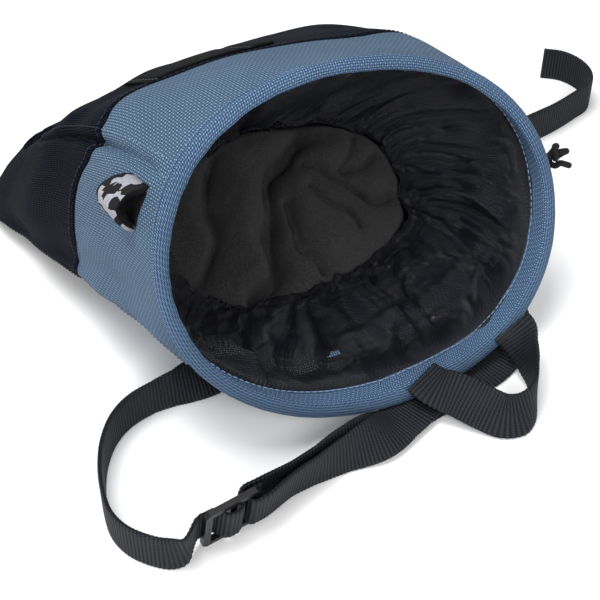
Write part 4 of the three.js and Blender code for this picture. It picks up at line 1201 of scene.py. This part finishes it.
colour = recipe.mix(shard, (0.005, 0.005, 0.006, 1), (0.3, 0.3, 0.34, 1))
fine = recipe.noise(2400, 2.0)
brush.data.materials.append(recipe.finish(colour, recipe.relief(fine, 0.0002)))
lining = Recipe("black_tape", 0.8, specular=0.1)
grain = lining.noise(1800, 2.0)
tape_colour = lining.mix(grain, (0.0015, 0.0015, 0.002, 1), (0.007, 0.007, 0.008, 1))
black_tape = lining.finish(tape_colour, lining.relief(grain, 0.0002))
brush.data.materials.append(black_tape)
around_count = len(turns) * 2
for face in brush.data.polygons:
    if all(v % around_count < len(turns) for v in face.vertices if v < around_count * BRUSH_ROWS):
        face.material_index = 1
brush_back = strip_solid("brush_loop_back", np.array(back_rows))
brush_back.data.materials.append(black_tape)
for piece in (brush, brush_back):
    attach(piece, "root")
    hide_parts("brush_loop")
seams = [
    np.array([brush_row(run, np.array([t]), np.array([0.75]))[0] for run in np.linspace(0.05, 0.95, 12)])
    for t in (-0.82, 0.82)
]
stitches("brush_stitches", seams, grey_thread, 1.9, 1.5, 0.28)

# Drawstring
# A thin braided cord that comes out of the binding at the right side and ends in a knot with
# a short singed tail.
CORD, KNOT = 2.2, 8
exit_place = wall(BINDING_WIDTH / 2 / float(wall_length(0.0)), math.radians(11), -0.8 - 2 * CLEAR)
knot_middle = exit_place + np.array([KNOT * 0.85, KNOT * 0.1, -KNOT * 0.1])
line = [exit_place]
for t in np.linspace(0.5, 2 * math.pi - 0.5, 21):
    scale = KNOT / 6
    line.append(knot_middle + np.array([
        -(math.cos(t) - 2 * math.cos(2 * t)) * scale * 0.9, math.sin(3 * t) * scale * 0.95,
        (math.sin(t) + 2 * math.sin(2 * t)) * scale,
    ]))
line.append(knot_middle + np.array([KNOT * 0.75, -KNOT * 0.1, -KNOT * 0.8]))
path = run_curve(line, 14)
length = np.concatenate([[0], np.cumsum(np.linalg.norm(np.diff(path, axis=0), axis=1))])
even = np.linspace(0, length[-1], 330)
path = np.stack([np.interp(even, length, path[:, i]) for i in range(3)], 1)
along = np.gradient(path, axis=0)
along /= np.linalg.norm(along, axis=1)[:, None]
side = np.array([0.3, 0.9, 0.2])
rows = []
for k in range(len(path)):
    side = side - along[k] * (side @ along[k])
    side /= np.linalg.norm(side)
    other = np.cross(along[k], side)
    turn = np.linspace(0, 2 * math.pi, 16, endpoint=False)
    strands = np.abs(np.sin(turn * 4 + even[k] * 3.2)) * np.abs(np.sin(turn * 4 - even[k] * 3.2))
    radius = CORD / 2 * (0.95 + 0.09 * strands)
    rows.append(path[k] + radius[:, None] * (np.cos(turn)[:, None] * side + np.sin(turn)[:, None] * other))
cord = strip_solid("drawstring_cord", np.array(rows))
recipe = Recipe("braided_cord", 0.65, specular=0.2)
u, v = recipe.uv()
STRAND_TURN = 5200.0
one_way = recipe.math("SINE", recipe.math("MULTIPLY", recipe.math("ADD", u, v), STRAND_TURN))
other_way = recipe.math("SINE", recipe.math("MULTIPLY", recipe.math("SUBTRACT", u, v), STRAND_TURN))
braid = recipe.math("MULTIPLY", one_way, other_way)
# Painted shade and highlight: the cord is darker in the gaps between its strands and lighter on their crowns.
colour = recipe.mix(recipe.between(braid, -0.6, 0.8), (0.0015, 0.0015, 0.002, 1), (0.012, 0.0125, 0.014, 1))
cord.data.materials.append(recipe.finish(colour, recipe.relief(braid, 0.00015)))
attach(cord, "root")
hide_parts("drawstring")
